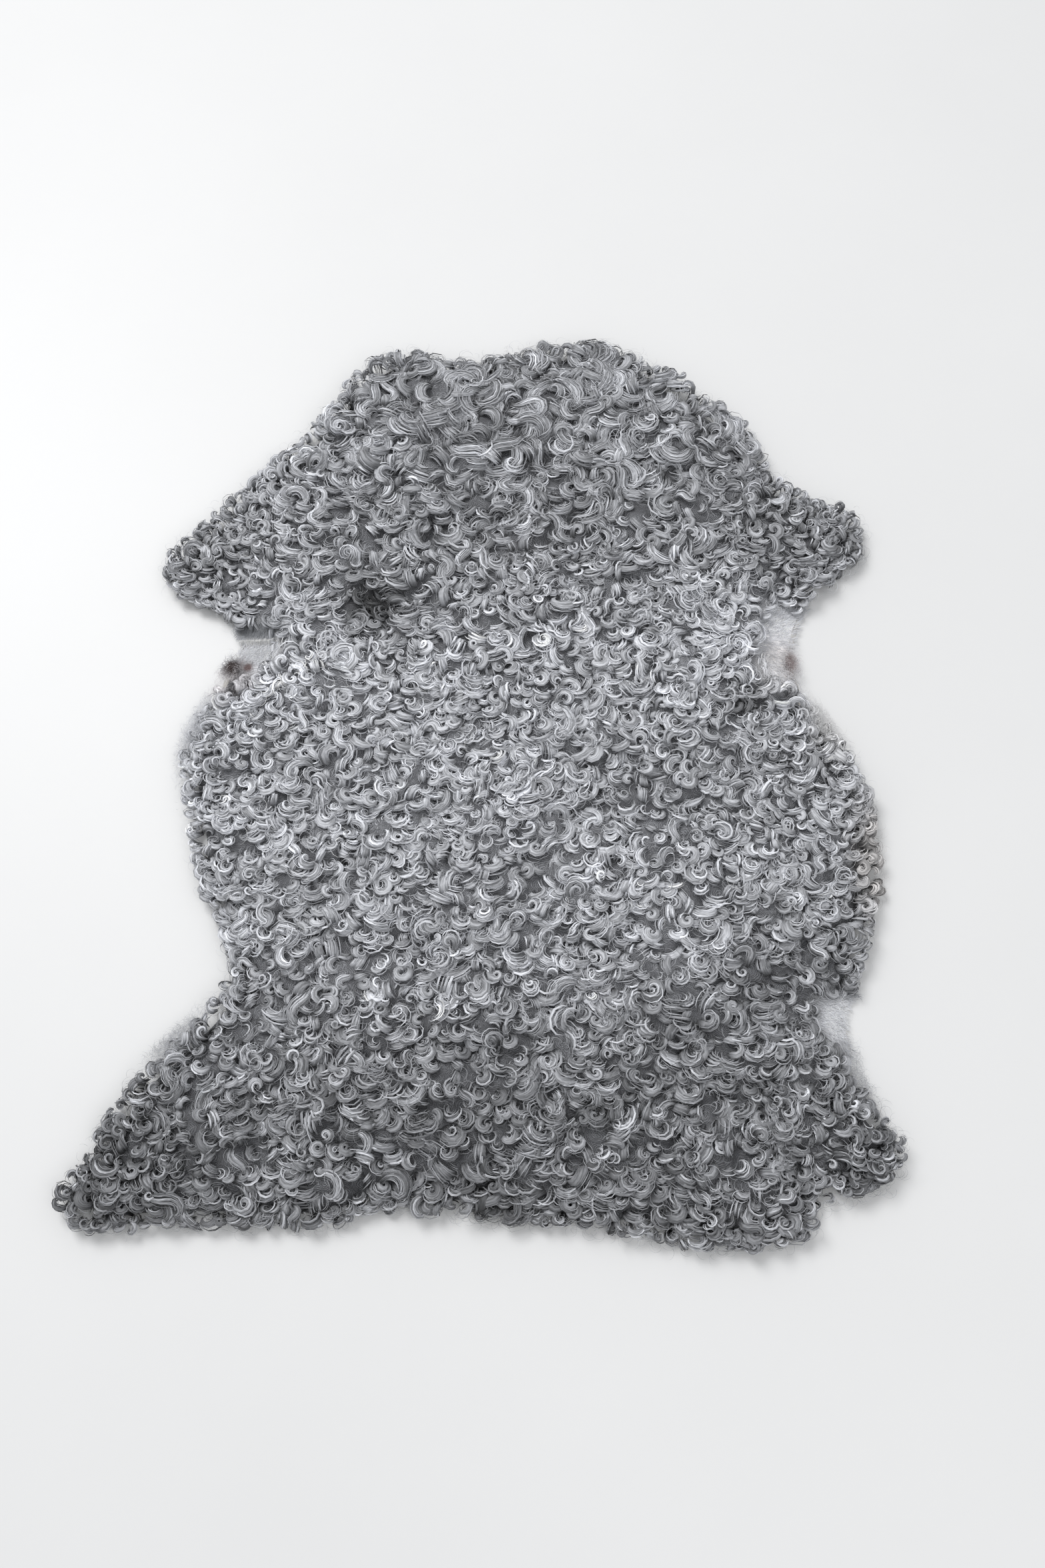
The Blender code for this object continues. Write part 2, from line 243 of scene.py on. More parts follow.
@dataclass
class Chart:
    """Values on a square grid over the rug, read anywhere between its points."""

    values: Array
    low: Span
    step: float

    @classmethod
    def of(cls, rule: Rule, half: Span, step: float) -> "Chart":
        """Works a rule out over the rug.

        Args:
            rule: Gives a value for each (across, along).
            half: Half the chart's width and length.
            step: The grid's spacing.

        Returns:
            The chart.
        """
        across = np.arange(-half[0], half[0] + step, step)
        along = np.arange(-half[1], half[1] + step, step)
        x, y = np.meshgrid(across, along)
        values = rule(x.ravel(), y.ravel()).reshape(x.shape)
        return cls(values, (-half[0], -half[1]), step)

    @classmethod
    def of_noise(cls, spacing: float, seed: int) -> "Chart":
        """Makes a chart of even random values from -1 to 1.

        Args:
            spacing: How far apart they are.
            seed: Where chance starts.

        Returns:
            The chart.
        """
        draw = np.random.default_rng(seed)
        return cls.of(lambda x, y: draw.uniform(-1.0, 1.0, x.shape), NOISE_HALF, spacing)

    def at(self, x: Array, y: Array) -> Array:
        """Reads the chart, evenly between its points.

        Args:
            x: Places across the rug.
            y: Places along it.

        Returns:
            The value at each place.
        """
        rows, columns = self.values.shape
        u = np.clip((x - self.low[0]) / self.step, 0, columns - 1.001)
        v = np.clip((y - self.low[1]) / self.step, 0, rows - 1.001)
        i, j = u.astype(int), v.astype(int)
        fu, fv = u - i, v - j
        here, above = self.values[j, i], self.values[j + 1, i]
        right, over = self.values[j, i + 1], self.values[j + 1, i + 1]
        return (here * (1 - fu) + right * fu) * (1 - fv) + (above * (1 - fu) + over * fu) * fv


def along_loop(loop: Array, shares: Array) -> Array:
    """Reads a closed loop's columns at places along it.

    Args:
        loop: The loop, a row for each point, across and along first.
        shares: The places, in shares of the loop's length.

    Returns:
        A row for each place.
    """
    closed = np.vstack([loop, loop[:1]])
    lengths = np.linalg.norm(np.diff(closed[:, :2], axis=0), axis=1)
    travelled = np.concatenate([[0.0], np.cumsum(lengths)])
    places = np.asarray(shares) * travelled[-1]
    return np.column_stack([np.interp(places, travelled, column) for column in closed.T])


def loop_length(loop: Array) -> float:
    """How long the closed loop is."""
    return float(np.linalg.norm(np.roll(loop[:, :2], -1, axis=0) - loop[:, :2], axis=1).sum())


def outward(loop: Array) -> Array:
    """Unit normals of a clockwise loop, pointing away from its inside."""
    along = unit(np.roll(loop[:, :2], -1, axis=0) - np.roll(loop[:, :2], 1, axis=0))
    return np.column_stack([-along[:, 1], along[:, 0]])


def inset(loop: Array, depths: Array) -> Array:
    """Moves a clockwise loop towards its inside.

    Args:
        loop: The loop.
        depths: How far each of its points moves.

    Returns:
        The moved loop.
    """
    moved = loop.copy()
    moved[:, :2] -= outward(loop) * np.asarray(depths)[:, None]
    return moved


def distance_to(points: Array, x: Array, y: Array) -> Array:
    """Measures how far each place is from the nearest of some points.

    Args:
        points: The points, a row of (across, along) for each.
        x: Places across the rug.
        y: Places along it.

    Returns:
        The distances.
    """
    parts = max(1, len(x) // PLACES_AT_ONCE)
    return np.concatenate([
        np.hypot(px[:, None] - points[None, :, 0], py[:, None] - points[None, :, 1]).min(axis=1)
        for px, py in zip(np.array_split(x, parts), np.array_split(y, parts))])


def is_inside(loop: Array, x: Array, y: Array) -> Array:
    """Finds the places inside a closed loop, by counting the edges that a ray crosses.

    Args:
        loop: The loop.
        x: Places across the rug.
        y: Places along it.

    Returns:
        True for each place that is inside.
    """
    ax, ay = loop[:, 0], loop[:, 1]
    bx, by = np.roll(ax, -1), np.roll(ay, -1)
    rise = np.where(by == ay, 1.0, by - ay)
    found = []
    parts = max(1, len(x) // PLACES_AT_ONCE)
    for px, py in zip(np.array_split(x, parts), np.array_split(y, parts)):
        spans = (ay[None] > py[:, None]) != (by[None] > py[:, None])
        crossing = ax + (py[:, None] - ay) / rise * (bx - ax)
        found.append((spans & (px[:, None] < crossing)).sum(axis=1) % 2 == 1)
    return np.concatenate(found)


def grid_inside(loop: Array, spacing: float, clear: float, jitter: float = 0.0) -> Array:
    """Points of a triangular grid inside a loop.

    Args:
        loop: The closed loop.
        spacing: How far apart the points are.
        clear: How far inside the loop they stay.
        jitter: How far each may stray from the grid, either way.

    Returns:
        The points, a row of (across, along) for each.
    """
    draw = np.random.default_rng(11)
    row_step = spacing * math.sqrt(3.0) / 2.0
    rows_out = math.ceil(np.abs(loop[:, 1]).max() / row_step)
    columns_out = math.ceil(np.abs(loop[:, 0]).max() / spacing)
    points = np.array([((column + 0.5 * (row % 2)) * spacing, row * row_step)
                       for row in range(-rows_out, rows_out + 1)
                       for column in range(-columns_out, columns_out + 1)])
    points += draw.uniform(-jitter, jitter, points.shape)
    x, y = points.T
    return points[is_inside(loop, x, y) & (distance_to(loop, x, y) >= clear)]


@dataclass
class Pelt:
    """The pelt's outline and the lie of its wool, which every layer of the rug follows."""

    hide_thick: float = 0.002
    touch_gap: float = 0.0003  # between the hide and the fleece
    pile_body: float = 0.027
    pile_neck: float = 0.033
    pile_clipped: float = 0.004
    neck_from: float = 0.22  # where along the rug the pile starts to rise to the neck's
    neck_full: float = 0.42
    rim_share: float = 0.62  # of the fleece's height, at its rim
    rim_slope: float = 0.070  # how far inside the rim it has its full height
    patch_edge: Span = (0.75, 1.6)  # where a clipped patch starts to fade, and its end
    clump_spacing: float = 0.056
    clump_jitter: float = 0.014
    clump_rise: float = 0.0045
    clump_sink: float = 0.0060
    clump_least: float = 0.1  # of a clump's height, where the pile is lowest
    lock_reach: float = 0.017  # of the rim's locks, beyond the slab
    clipped_inset: float = 0.003
    hide_inset: float = 0.004
    lock_spacing: float = 0.0185
    span_steps: int = 12
    rim_points: int = 900
    hide_points: int = 200
    chart_half: Span = (0.45, 0.55)
    chart_step: float = 0.004
    wool_half: Span = (0.42, 0.52)  # of the oblong that all the locks stand in
    grey: Triple = (0.64, 0.65, 0.685)
    tint_spread: float = 1.7  # how far a white or brown place keeps its full colour
    under_top: float = 0.0068  # how far the underwool lies under the crowns of the locks
    under_patch: float = 0.72  # how much less deep it lies where the hair is clipped
    under_gap: float = 0.0011  # how far its lowest place is over the hide
    under_least: float = 0.0006
    under_slope: float = 0.022  # how far inside its edge it has its full height
    comb_limit: float = 1.5  # half lengths of a patch, beyond which the comb turns no more
    rim: Array = field(init=False)
    slab: Array = field(init=False)
    cut_edge: Array = field(init=False)
    crowns: Array = field(init=False)
    depth: Chart = field(init=False)
    top: Chart = field(init=False)
    shift: Array = field(init=False)

    def __post_init__(self) -> None:
        """Draws the outline and charts the wool over it."""
        self.rim = self._draw_rim()
        woolly = self.rim[:, 2]
        self.slab = inset(self.rim, woolly * self.lock_reach + (1 - woolly) * self.clipped_inset)
        self.cut_edge = inset(self.rim, woolly * (self.lock_reach + self.hide_inset))
        self.crowns = grid_inside(self.slab, self.clump_spacing, 0.0, self.clump_jitter)
        self.depth = Chart.of(self._depth_in, self.chart_half, self.chart_step)
        self.top = Chart.of(self._top_over, self.chart_half, self.chart_step)
        edge = along_loop(self.cut_edge, np.arange(self.hide_points) / self.hide_points)
        self.shift = np.array(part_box("hide")[0][:2]) - edge[:, :2].min(axis=0)

    def _draw_rim(self) -> Array:
        """Draws the wool's rim through its points.

        Returns:
            A row of across, along and how woolly it is for each place along the rim.
        """
        anchors = np.array([(x, y, woolly) for _, woolly, points in RIM for x, y in points])
        share = (np.arange(self.span_steps) / self.span_steps)[:, None]
        spans = []
        for i in range(len(anchors)):
            a, b, c, d = (anchors[(i + k) % len(anchors)] for k in (-1, 0, 1, 2))
            spans.append(0.5 * (2 * b + (c - a) * share + (2 * a - 5 * b + 4 * c - d) * share**2
                                + (3 * b - a - 3 * c + d) * share**3))
        loop = np.concatenate(spans)
        loop[:, 2] = np.clip(loop[:, 2], 0.0, 1.0)
        return along_loop(loop, np.arange(self.rim_points) / self.rim_points)

    def _depth_in(self, x: Array, y: Array) -> Array:
        """How far inside the rim each place is, and less than 0 outside it."""
        return distance_to(self.rim, x, y) * np.where(is_inside(self.rim, x, y), 1.0, -1.0)

    def _top_over(self, x: Array, y: Array) -> Array:
        """Works out the fleece's top, with its clumps and the partings between locks.

        Args:
            x: Places across the rug.
            y: Places along it.

        Returns:
            The top's height over the floor at each place.
        """
        inside = is_inside(self.slab, x, y)
        from_rim = distance_to(self.slab, x, y) * inside
        neck = smoothstep(self.neck_from, self.neck_full, y)
        full = self.pile_body + (self.pile_neck - self.pile_body) * neck
        slope = smoothstep(0.0, self.rim_slope, from_rim)
        height = full * (self.rim_share + (1.0 - self.rim_share) * slope)
        height += (self.pile_clipped - height) * self.clipped(x, y)
        from_crown = distance_to(self.crowns, x, y) / (self.clump_spacing / math.sqrt(3.0))
        drop = (self.clump_rise + self.clump_sink) * np.clip(from_crown, 0.0, 1.0) ** 2
        height += (self.clump_rise - drop) * np.clip(height / self.pile_body, self.clump_least, 1.0)
        for _, across, along, width, length, deep in PARTINGS:
            height -= deep * bump(x, y, across, along, width, length)
        return self.hide_thick + self.touch_gap + height

    def clipped(self, x: Array, y: Array) -> Array:
        """Works out how short the hair is clipped.

        Args:
            x: Places across the rug.
            y: Places along it.

        Returns:
            How short it is at each place, from 0 for full wool to 1.
        """
        found = np.zeros_like(x)
        for _, across, along, width, length, _, _ in CLIPPED_PATCHES:
            radius = np.hypot((x - across) / width, (y - along) / length)
            found = np.maximum(found, 1.0 - smoothstep(*self.patch_edge, radius))
        return found

    def bareness(self, x: Array, y: Array) -> Array:
        """Works out where no lock may grow.

        Args:
            x: Places across the rug.
            y: Places along it.

        Returns:
            How far each place is kept free of locks, from 0 to 1.
        """
        found = np.zeros_like(x)
        for _, across, along, width, length in BARE:
            found = np.maximum(found, bump(x, y, across, along, width, length))
        return found

    def reach(self, x: Array, y: Array) -> Array:
        """How much farther out the wool stands about each place."""
        return sum(far * bump(x, y, across, along, width, length)
                   for _, across, along, width, length, far in REACHES)

    def spacing(self, x: Array, y: Array) -> Array:
        """Works out how far apart the locks stand.

        Args:
            x: Places across the rug.
            y: Places along it.

        Returns:
            Their spacing at each place.
        """
        size = np.full_like(x, self.lock_spacing)
        for _, across, along, width, length, wanted in LOCK_SIZES:
            size += (wanted - size) * bump(x, y, across, along, width, length)
        return size

    def shade(self, x: Array, y: Array) -> Array:
        """Works out how light the wool is.

        Args:
            x: Places across the rug.
            y: Places along it.

        Returns:
            A factor on its colour at each place.
        """
        factor = np.ones_like(x)
        for _, across, along, width, length, wanted in SHADES:
            factor *= 1.0 + (wanted - 1.0) * bump(x, y, across, along, width, length)
        return factor

    def colour(self, x: Array, y: Array) -> Array:
        """Works out the wool's colour, with its white and brown places.

        Args:
            x: Places across the rug.
            y: Places along it.

        Returns:
            The colour at each place.
        """
        found = np.array(self.grey) * self.shade(x, y)[:, None]
        for _, across, along, width, length, cover, colour in TINTS:
            full = self.tint_spread * bump(x, y, across, along, width, length)
            found = found + (np.array(colour) - found) * (cover * np.minimum(full, 1.0)[:, None])
        return found

    def ground(self, x: Array, y: Array) -> Array:
        """Works out the top of the underwool, with the pleat.

        Args:
            x: Places across the rug.
            y: Places along it.

        Returns:
            Its height over the floor at each place.
        """
        low, clipped = self.hide_thick + self.touch_gap + self.under_gap, self.clipped(x, y)
        from_edge = smoothstep(0.0, self.under_slope, self.depth.at(x, y) - self.lock_reach * (1 - clipped))
        rise = self.top.at(x, y) - self.under_top * (1.0 - self.under_patch * clipped) - low
        (ax, ay), (bx, by), high, width = PLEAT
        along = np.clip((x - ax) / (bx - ax), 0.0, 1.0)
        off = np.hypot(x - ax - along * (bx - ax), y - ay - along * (by - ay))
        return low + np.maximum(rise, self.under_least) * from_edge + high * np.exp(-(off / width) ** 2)

    def comb(self, x: Array, y: Array) -> Array:
        """Works out the way that the short hair is combed.

        Args:
            x: Places across the rug.
            y: Places along it.

        Returns:
            The way at each place, as an angle from +X.
        """
        weights, angles = [], []
        for _, across, along, width, length, angle, fan in CLIPPED_PATCHES:
            weights.append(bump(x, y, across, along, width, length) + 1e-12)
            turned = fan * np.clip((y - along) / length, -self.comb_limit, self.comb_limit)
            angles.append(np.radians(angle + turned))
        weights, angles = np.array(weights), np.array(angles)
        return np.arctan2((weights * np.sin(angles)).sum(0), (weights * np.cos(angles)).sum(0))

    def downhill(self, x: Array, y: Array) -> Array:
        """Works out the way to the nearest rim.

        Args:
            x: Places across the rug.
            y: Places along it.

        Returns:
            A unit vector (across, along) for each place.
        """
        step = self.chart_step
        slope_x = self.depth.at(x + step, y) - self.depth.at(x - step, y)
        slope_y = self.depth.at(x, y + step) - self.depth.at(x, y - step)
        return -unit(np.stack([slope_x, slope_y], axis=-1))


class Lock(Enum):
    """The kinds of lock on the pelt, by the name that their pieces have."""

    ROSETTE = "rosettes"
    CRESCENT = "crescents"
    ROLL = "rolls"
    WAVE = "waves"


class Grade(IntEnum):
    """What a wisp does in its lock: fills it, covers it side by side with others, or lies over it."""

    CORE = 0
    BROAD = 1
    FINE = 2


@dataclass(frozen=True)
class Curl:
    """How one kind of lock winds about its axis, in shares of the lock's size."""

    lean: Span  # degrees of the axis from upright
    sideways: float  # degrees of the axis from the way that the lock leans
    turns: Span
    radius: Span  # of the winding's middle line, at the root and at the tip
    half_width: Span  # of the lock, at the root and at the tip
    half_height: float
    drift: float  # how far the winding travels along its axis
    hollow: float  # how far the tip falls into the middle of the winding
    start: float  # where the winding starts, in degrees from its lowest point
    stations: int  # along each wisp


CURLS = {
    Lock.ROSETTE: Curl((4, 30), 0, (1.00, 1.45), (0.39, 0.06), (0.22, 0.09), 0.12, 0.0, 0.16, -30, 13),
    Lock.CRESCENT: Curl((24, 52), 0, (0.72, 1.04), (0.38, 0.22), (0.23, 0.11), 0.13, 0.0, 0.08, 0, 10),
    Lock.ROLL: Curl((55, 84), 90, (0.62, 0.95), (0.27, 0.20), (0.26, 0.16), 0.09, 0.4, 0.00, 40, 9),
}


@dataclass(frozen=True)
class Wave:
    """How the waves of the neck run, in shares of the lock's size and of its length, and in degrees."""

    stations: int = 11  # along each wisp
    fine_steps: int = 6  # in which its line is laid between two of them
    snakes: float = 0.4  # of the waves, which swing both ways, while the others bend one way
    bend: Span = (120, 190)
    bend_span: Span = (0.05, 0.95)
    swing: Span = (50, 75)
    swings: float = 1.1  # along a wave
    offset: float = 0.25  # how far a swing may start from its usual place, in turns
    hook: float = 110  # how far the tip turns
    hook_from: float = 0.72
    length: Span = (1.6, 2.3)
    half_width: float = 0.20
    half_height: float = 0.11
    swell: Triple = (0.06, 0.84, 0.8)  # its start and span on a sine, and its power
    tip_from: float = 0.7
    tip_fall: float = 0.004


@dataclass
class LockBed:
    """Many locks at once, an entry of each array to a lock."""

    x: Array
    y: Array
    size: Array
    growth: Array  # the direction that the lock leans to, as an angle from +X
    lift: Array  # how far its crown stands over the fleece's top
    shade: Array
    colour: Array
    kind: Array

    def only(self, chosen: Array) -> "LockBed":
        """The locks that are chosen."""
        return LockBed(**{f.name: getattr(self, f.name)[chosen] for f in fields(self)})


@dataclass
class Wisps:
    """Many wisps at once: places, outward directions, widths and colours along each, and grades."""

    paths: Array
    ups: Array
    widths: Array
    colours: Array
    grade: Array

    def only(self, chosen: Array) -> "Wisps":
        """The wisps that are chosen."""
        return Wisps(**{f.name: getattr(self, f.name)[chosen] for f in fields(self)})


# How far a wisp's edges turn away, for wisps of these widths.
ROUNDED = (math.radians(36), math.radians(20), math.radians(46))
BREADTHS = (0.0008, 0.0028, 0.0060)
MAP_MARGIN = 0.08  # of a wisp's own cell of the map
FLOOR_GAP = 0.0003  # under the lowest wisps
CEILING = CAD_BOX[1][2] + 0.0088  # how high the highest wisps may stand
HAIR_STRIP = 20.0  # millimetres of the hair's map that each wisp has to itself
BLADE_TAPER = 0.7  # how much narrower a single hair's tip is than its root
BLADE_ROOT = 0.6  # how far along it the root's shadow reaches
KIND_SEED = 100  # where chance starts for the first kind of lock


@dataclass
class Strips:
    """The arrays of a mesh of strips, each pointed at both ends."""

    points: Array
    normals: Array
    loops: Array
    sizes: Array
    hair: Array
    cell: Array
    colours: Array

    @classmethod
    def of(cls, wisps: Wisps, columns: int, first: int, cells: int) -> "Strips":
        """Turns wisps into strips.

        Args:
            wisps: What to make.
            columns: How many points each strip has across.
            first: The number of its first cell on the map.
            cells: How many cells the map has in a row.

        Returns:
            The arrays.
        """
        count, stations = wisps.paths.shape[:2]
        rings, inner = stations - 2, slice(1, -1)
        tangents = unit(np.gradient(wisps.paths, axis=1))
        ups = unit(wisps.ups - (wisps.ups * tangents).sum(-1, keepdims=True) * tangents)
        sides = np.cross(tangents, ups)[:, inner, None]
        breadth = wisps.widths.max(1)
        tilt = np.interp(breadth, BREADTHS, ROUNDED)[:, None, None, None]
        turn = tilt * np.linspace(-1, 1, columns)[:, None]
        bow = wisps.widths[:, inner, None, None] / 2 / np.sin(tilt)
        rows = wisps.paths[:, inner, None] + sides * np.sin(turn) * bow
        rows = rows - ups[:, inner, None] * (1 - np.cos(turn)) * bow
        facing = ups[:, inner, None] * np.cos(turn) + sides * np.sin(turn)
        points = cls._with_ends(wisps.paths, rows)
        points[..., 2] = np.clip(points[..., 2], FLOOR_GAP, CEILING)
        left = (1 + columns * np.arange(rings - 1)[:, None] + np.arange(columns - 1)).ravel()
        quads = np.stack([left, left + 1, left + columns + 1, left + columns], -1).ravel()
        fan, last = np.arange(columns - 1), columns * (rings - 1) + 1
        heads = np.stack([0 * fan, fan + 2, fan + 1], -1).ravel()
        tails = np.stack([last + fan, last + fan + 1, 0 * fan + last + columns], -1).ravel()
        one = np.concatenate([quads, heads, tails])
        sizes = np.concatenate([np.full(len(left), 4), np.full(2 * len(fan), 3)])
        per = columns * rings + 2
        loops = (np.arange(count)[:, None] * per + one[None]).ravel()
        across = np.concatenate([[0.5], np.tile(np.linspace(0, 1, columns), rings), [0.5]])
        along = np.repeat(np.arange(rings + 2), [1, *[columns] * rings, 1]) / (rings + 1)
        reach = np.linalg.norm(np.diff(wisps.paths, axis=1), axis=-1).sum(1)
        number = first + np.arange(count)[:, None]
        hair = np.stack([number * HAIR_STRIP + MILLIMETRES * breadth[:, None] * across[None],
                         MILLIMETRES * reach[:, None] * along[None]], -1)
        place = MAP_MARGIN + (1 - 2 * MAP_MARGIN) * np.stack([across, along], -1)
        cell = (np.stack([number % cells, number // cells], -1) + place[None]) / cells
        colours = np.repeat(wisps.colours, [1, *[columns] * rings, 1], axis=1)
        return cls(points.reshape(-1, 3), cls._with_ends(ups, facing).reshape(-1, 3), loops,
                   np.tile(sizes, count), hair[:, one].reshape(-1, 2), cell[:, one].reshape(-1, 2),
                   colours.reshape(-1, 3))

    @staticmethod
    def _with_ends(line: Array, rows: Array) -> Array:
        """A line's two ends, with the rows of a strip between them."""
        return np.concatenate([line[:, :1], rows.reshape(len(rows), -1, 3), line[:, -1:]], 1)


def wisp_mesh(name: str, lots: list[tuple[Wisps, int]]) -> bpy.types.Object:
    """Makes one mesh of many wisps.

    Args:
        name: The piece's name.
        lots: Wisps, and how many points each of them has across.

    Returns:
        The new object, with its colours and two maps: one along the hair, one cell to a wisp.
    """
    cells = math.ceil(math.sqrt(sum(len(wisps.paths) for wisps, _ in lots)))
    made, first, base = [], 0, 0
    for wisps, columns in lots:
        strips = Strips.of(wisps, columns, first, cells)
        strips.loops = strips.loops + base
        first, base = first + len(wisps.paths), base + len(strips.points)
        made.append(strips)
    whole = Strips(**{f.name: np.concatenate([getattr(strips, f.name) for strips in made])
                      for f in fields(Strips)})
    mesh = bpy.data.meshes.new(name)
    fill_mesh(mesh, whole.points, whole.loops, whole.sizes)
    mesh.normals_split_custom_set_from_vertices(whole.normals)
    for layer, uv in (("Hair", whole.hair), ("OFBake", whole.cell)):
        mesh.uv_layers.new(name=layer).uv.foreach_set("vector", uv.astype(np.float32).ravel())
    paint_mesh(mesh, whole.colours)
    return add_piece(name, mesh)


def fill_mesh(mesh: bpy.types.Mesh, points: Array, loops: Array, sizes: Array) -> None:
    """Gives an empty mesh its points and smooth faces.

    Args:
        mesh: The mesh to fill.
        points: A row of three for each vertex.
        loops: The vertices round each face, one face after another.
        sizes: How many of them each face has.
    """
    mesh.vertices.add(len(points))
    mesh.vertices.foreach_set("co", np.ascontiguousarray(points, np.float32).ravel())
    mesh.loops.add(len(loops))
    mesh.loops.foreach_set("vertex_index", loops.astype(np.int32))
    mesh.polygons.add(len(sizes))
    starts = np.concatenate([[0], np.cumsum(sizes)[:-1]])
    mesh.polygons.foreach_set("loop_start", starts.astype(np.int32))
    mesh.update(calc_edges=True)
    mesh.shade_smooth()


def paint_mesh(mesh: bpy.types.Mesh, colours: Array, woolly: Array | float = 1.0) -> None:
    """Keeps what the wool's materials read at each vertex.

    Args:
        mesh: The mesh.
        colours: The colour at each vertex.
        woolly: How woolly it is there, from 0 for clipped hair to 1.
    """
    layer = mesh.color_attributes.new(name="Wool", type="FLOAT_COLOR", domain="POINT")
    full = np.column_stack([colours, np.broadcast_to(woolly, len(colours))])
    layer.data.foreach_set("color", full.astype(np.float32).ravel())


def add_piece(name: str, mesh: bpy.types.Mesh) -> bpy.types.Object:
    """Puts a mesh into the scene.

    Args:
        name: The new object's name.
        mesh: Its mesh.

    Returns:
        The object.
    """
    piece = bpy.data.objects.new(name, mesh)
    bpy.context.scene.collection.objects.link(piece)
    return piece


# --- Finishes -------------------------------------------------------------------------------


def new_group(name: str, inputs: tuple, outputs: tuple) -> bpy.types.NodeTree:
    """An empty shader node group.

    Args:
        name: The group's name.
        inputs: A (name, socket type, default) for each input.
        outputs: A (name, socket type) for each output.

    Returns:
        The group, with its input and output nodes in place.
    """
    group = bpy.data.node_groups.new(name, "ShaderNodeTree")
    for label, kind, default in inputs:
        group.interface.new_socket(label, in_out="INPUT", socket_type=kind).default_value = default
    for label, kind in outputs:
        group.interface.new_socket(label, in_out="OUTPUT", socket_type=kind)
    group.nodes.new("NodeGroupInput")
    group.nodes.new("NodeGroupOutput")
    return group


@dataclass
class Wiring:
    """Adds nodes to a tree and links them, with plain numbers set on their sockets."""

    tree: bpy.types.NodeTree

    def add(self, kind: str, values: dict | None = None, **settings: object) -> bpy.types.Node:
        """Adds one node.

        Args:
            kind: The node's type.
            values: What goes into its sockets, by name or number: an output to link, or a value.
            settings: Properties of the node.

        Returns:
            The new node.
        """
        node = self.tree.nodes.new(kind)
        for key, value in settings.items():
            setattr(node, key, value)
        for key, value in (values or {}).items():
            if isinstance(value, bpy.types.NodeSocket):
                self.tree.links.new(value, node.inputs[key])
            else:
                node.inputs[key].default_value = value
        return node

    def maths(self, operation: str, a: object, b: object = 0.0) -> bpy.types.NodeSocket:
        """The result of one sum on one or two values."""
        return self.add("ShaderNodeMath", {0: a, 1: b}, operation=operation).outputs[0]

    def node(self, kind: str) -> bpy.types.Node:
        """The first node of this type."""
        return next(n for n in self.tree.nodes if n.bl_idname == kind)


# How strongly each pattern of hairs counts, the painted highlight lines first, and the sum at which a wisp
# keeps its own colour.
PAINTED_GLINT_SHARE, FINE_SHARE, STRAND_SHARE, LINES_MIDDLE = 0.32, 0.20, 0.48, 0.42
# How thin the painted highlight lines are.
PAINTED_GLINT_SHARPNESS = 7.0
CLOUD_SHARE, GRAIN_SHARE = 0.7, 0.3  # of the clouds and of the grain in a mottled surface's colour


def hair_lines() -> bpy.types.NodeTree:
    """Builds the group that draws single hairs along a wisp: their tint, with painted highlights, and their
    relief.

    Returns:
        The group.
    """
    group = new_group(
        "Hair lines",
        (("Colour", "NodeSocketColor", (0.5, 0.5, 0.5, 1.0)), ("Hairs", "NodeSocketFloat", 0.9),
         ("Waviness", "NodeSocketFloat", 0.07), ("Contrast", "NodeSocketFloat", 0.6)),
        (("Colour", "NodeSocketColor"), ("Height", "NodeSocketFloat"),
         ("Gloss", "NodeSocketFloat")))
    w = Wiring(group)
    given = w.node("NodeGroupInput").outputs
    place = w.add("ShaderNodeUVMap", uv_map="Hair").outputs["UV"]
    parts = w.add("ShaderNodeSeparateXYZ", {0: place}).outputs
    across = w.maths("MULTIPLY", parts[0], given["Hairs"])
    along = w.maths("MULTIPLY", parts[1], given["Waviness"])
    where = w.add("ShaderNodeCombineXYZ", {0: across, 1: along}).outputs[0]
    strands, broad, fine = (
        w.add("ShaderNodeTexNoise", {"Vector": where, "Scale": scale, "Detail": detail, "Roughness": 0.6},
              noise_dimensions="2D").outputs[0]
        for scale, detail in ((0.46, 0.0), (1.0, 1.0), (2.4, 1.0)))
    # Painted highlights: thin bright lines where the broad noise crosses its middle lighten the colour, as
    # if single hairs caught the light.
    off_middle = w.maths("ABSOLUTE", w.maths("SUBTRACT", broad, 0.5))
    crest = w.maths("SUBTRACT", 1.0, w.maths("MULTIPLY", off_middle, PAINTED_GLINT_SHARPNESS))
    crest = w.maths("MAXIMUM", crest, 0.0)
    ground = w.add("ShaderNodeMapRange", {0: fine, 1: 0.25, 2: 0.75}).outputs[0]
    strand = w.add("ShaderNodeMapRange", {0: strands, 1: 0.36, 2: 0.64}).outputs[0]
    hairs = w.maths("ADD", w.maths("MULTIPLY", crest, PAINTED_GLINT_SHARE), w.maths("MULTIPLY", ground, FINE_SHARE))
    lines = w.maths("ADD", hairs, w.maths("MULTIPLY", strand, STRAND_SHARE))
    spread = w.maths("MULTIPLY", w.maths("SUBTRACT", lines, LINES_MIDDLE), given["Contrast"])
    factor = w.maths("ADD", spread, 1.0)
    tinted = w.add("ShaderNodeVectorMath", {0: given["Colour"], "Scale": factor},
                   operation="SCALE").outputs[0]
    out = w.node("NodeGroupOutput")
    for label, value in (("Colour", tinted), ("Height", lines), ("Gloss", lines)):
        group.links.new(value, out.inputs[label])
    return group


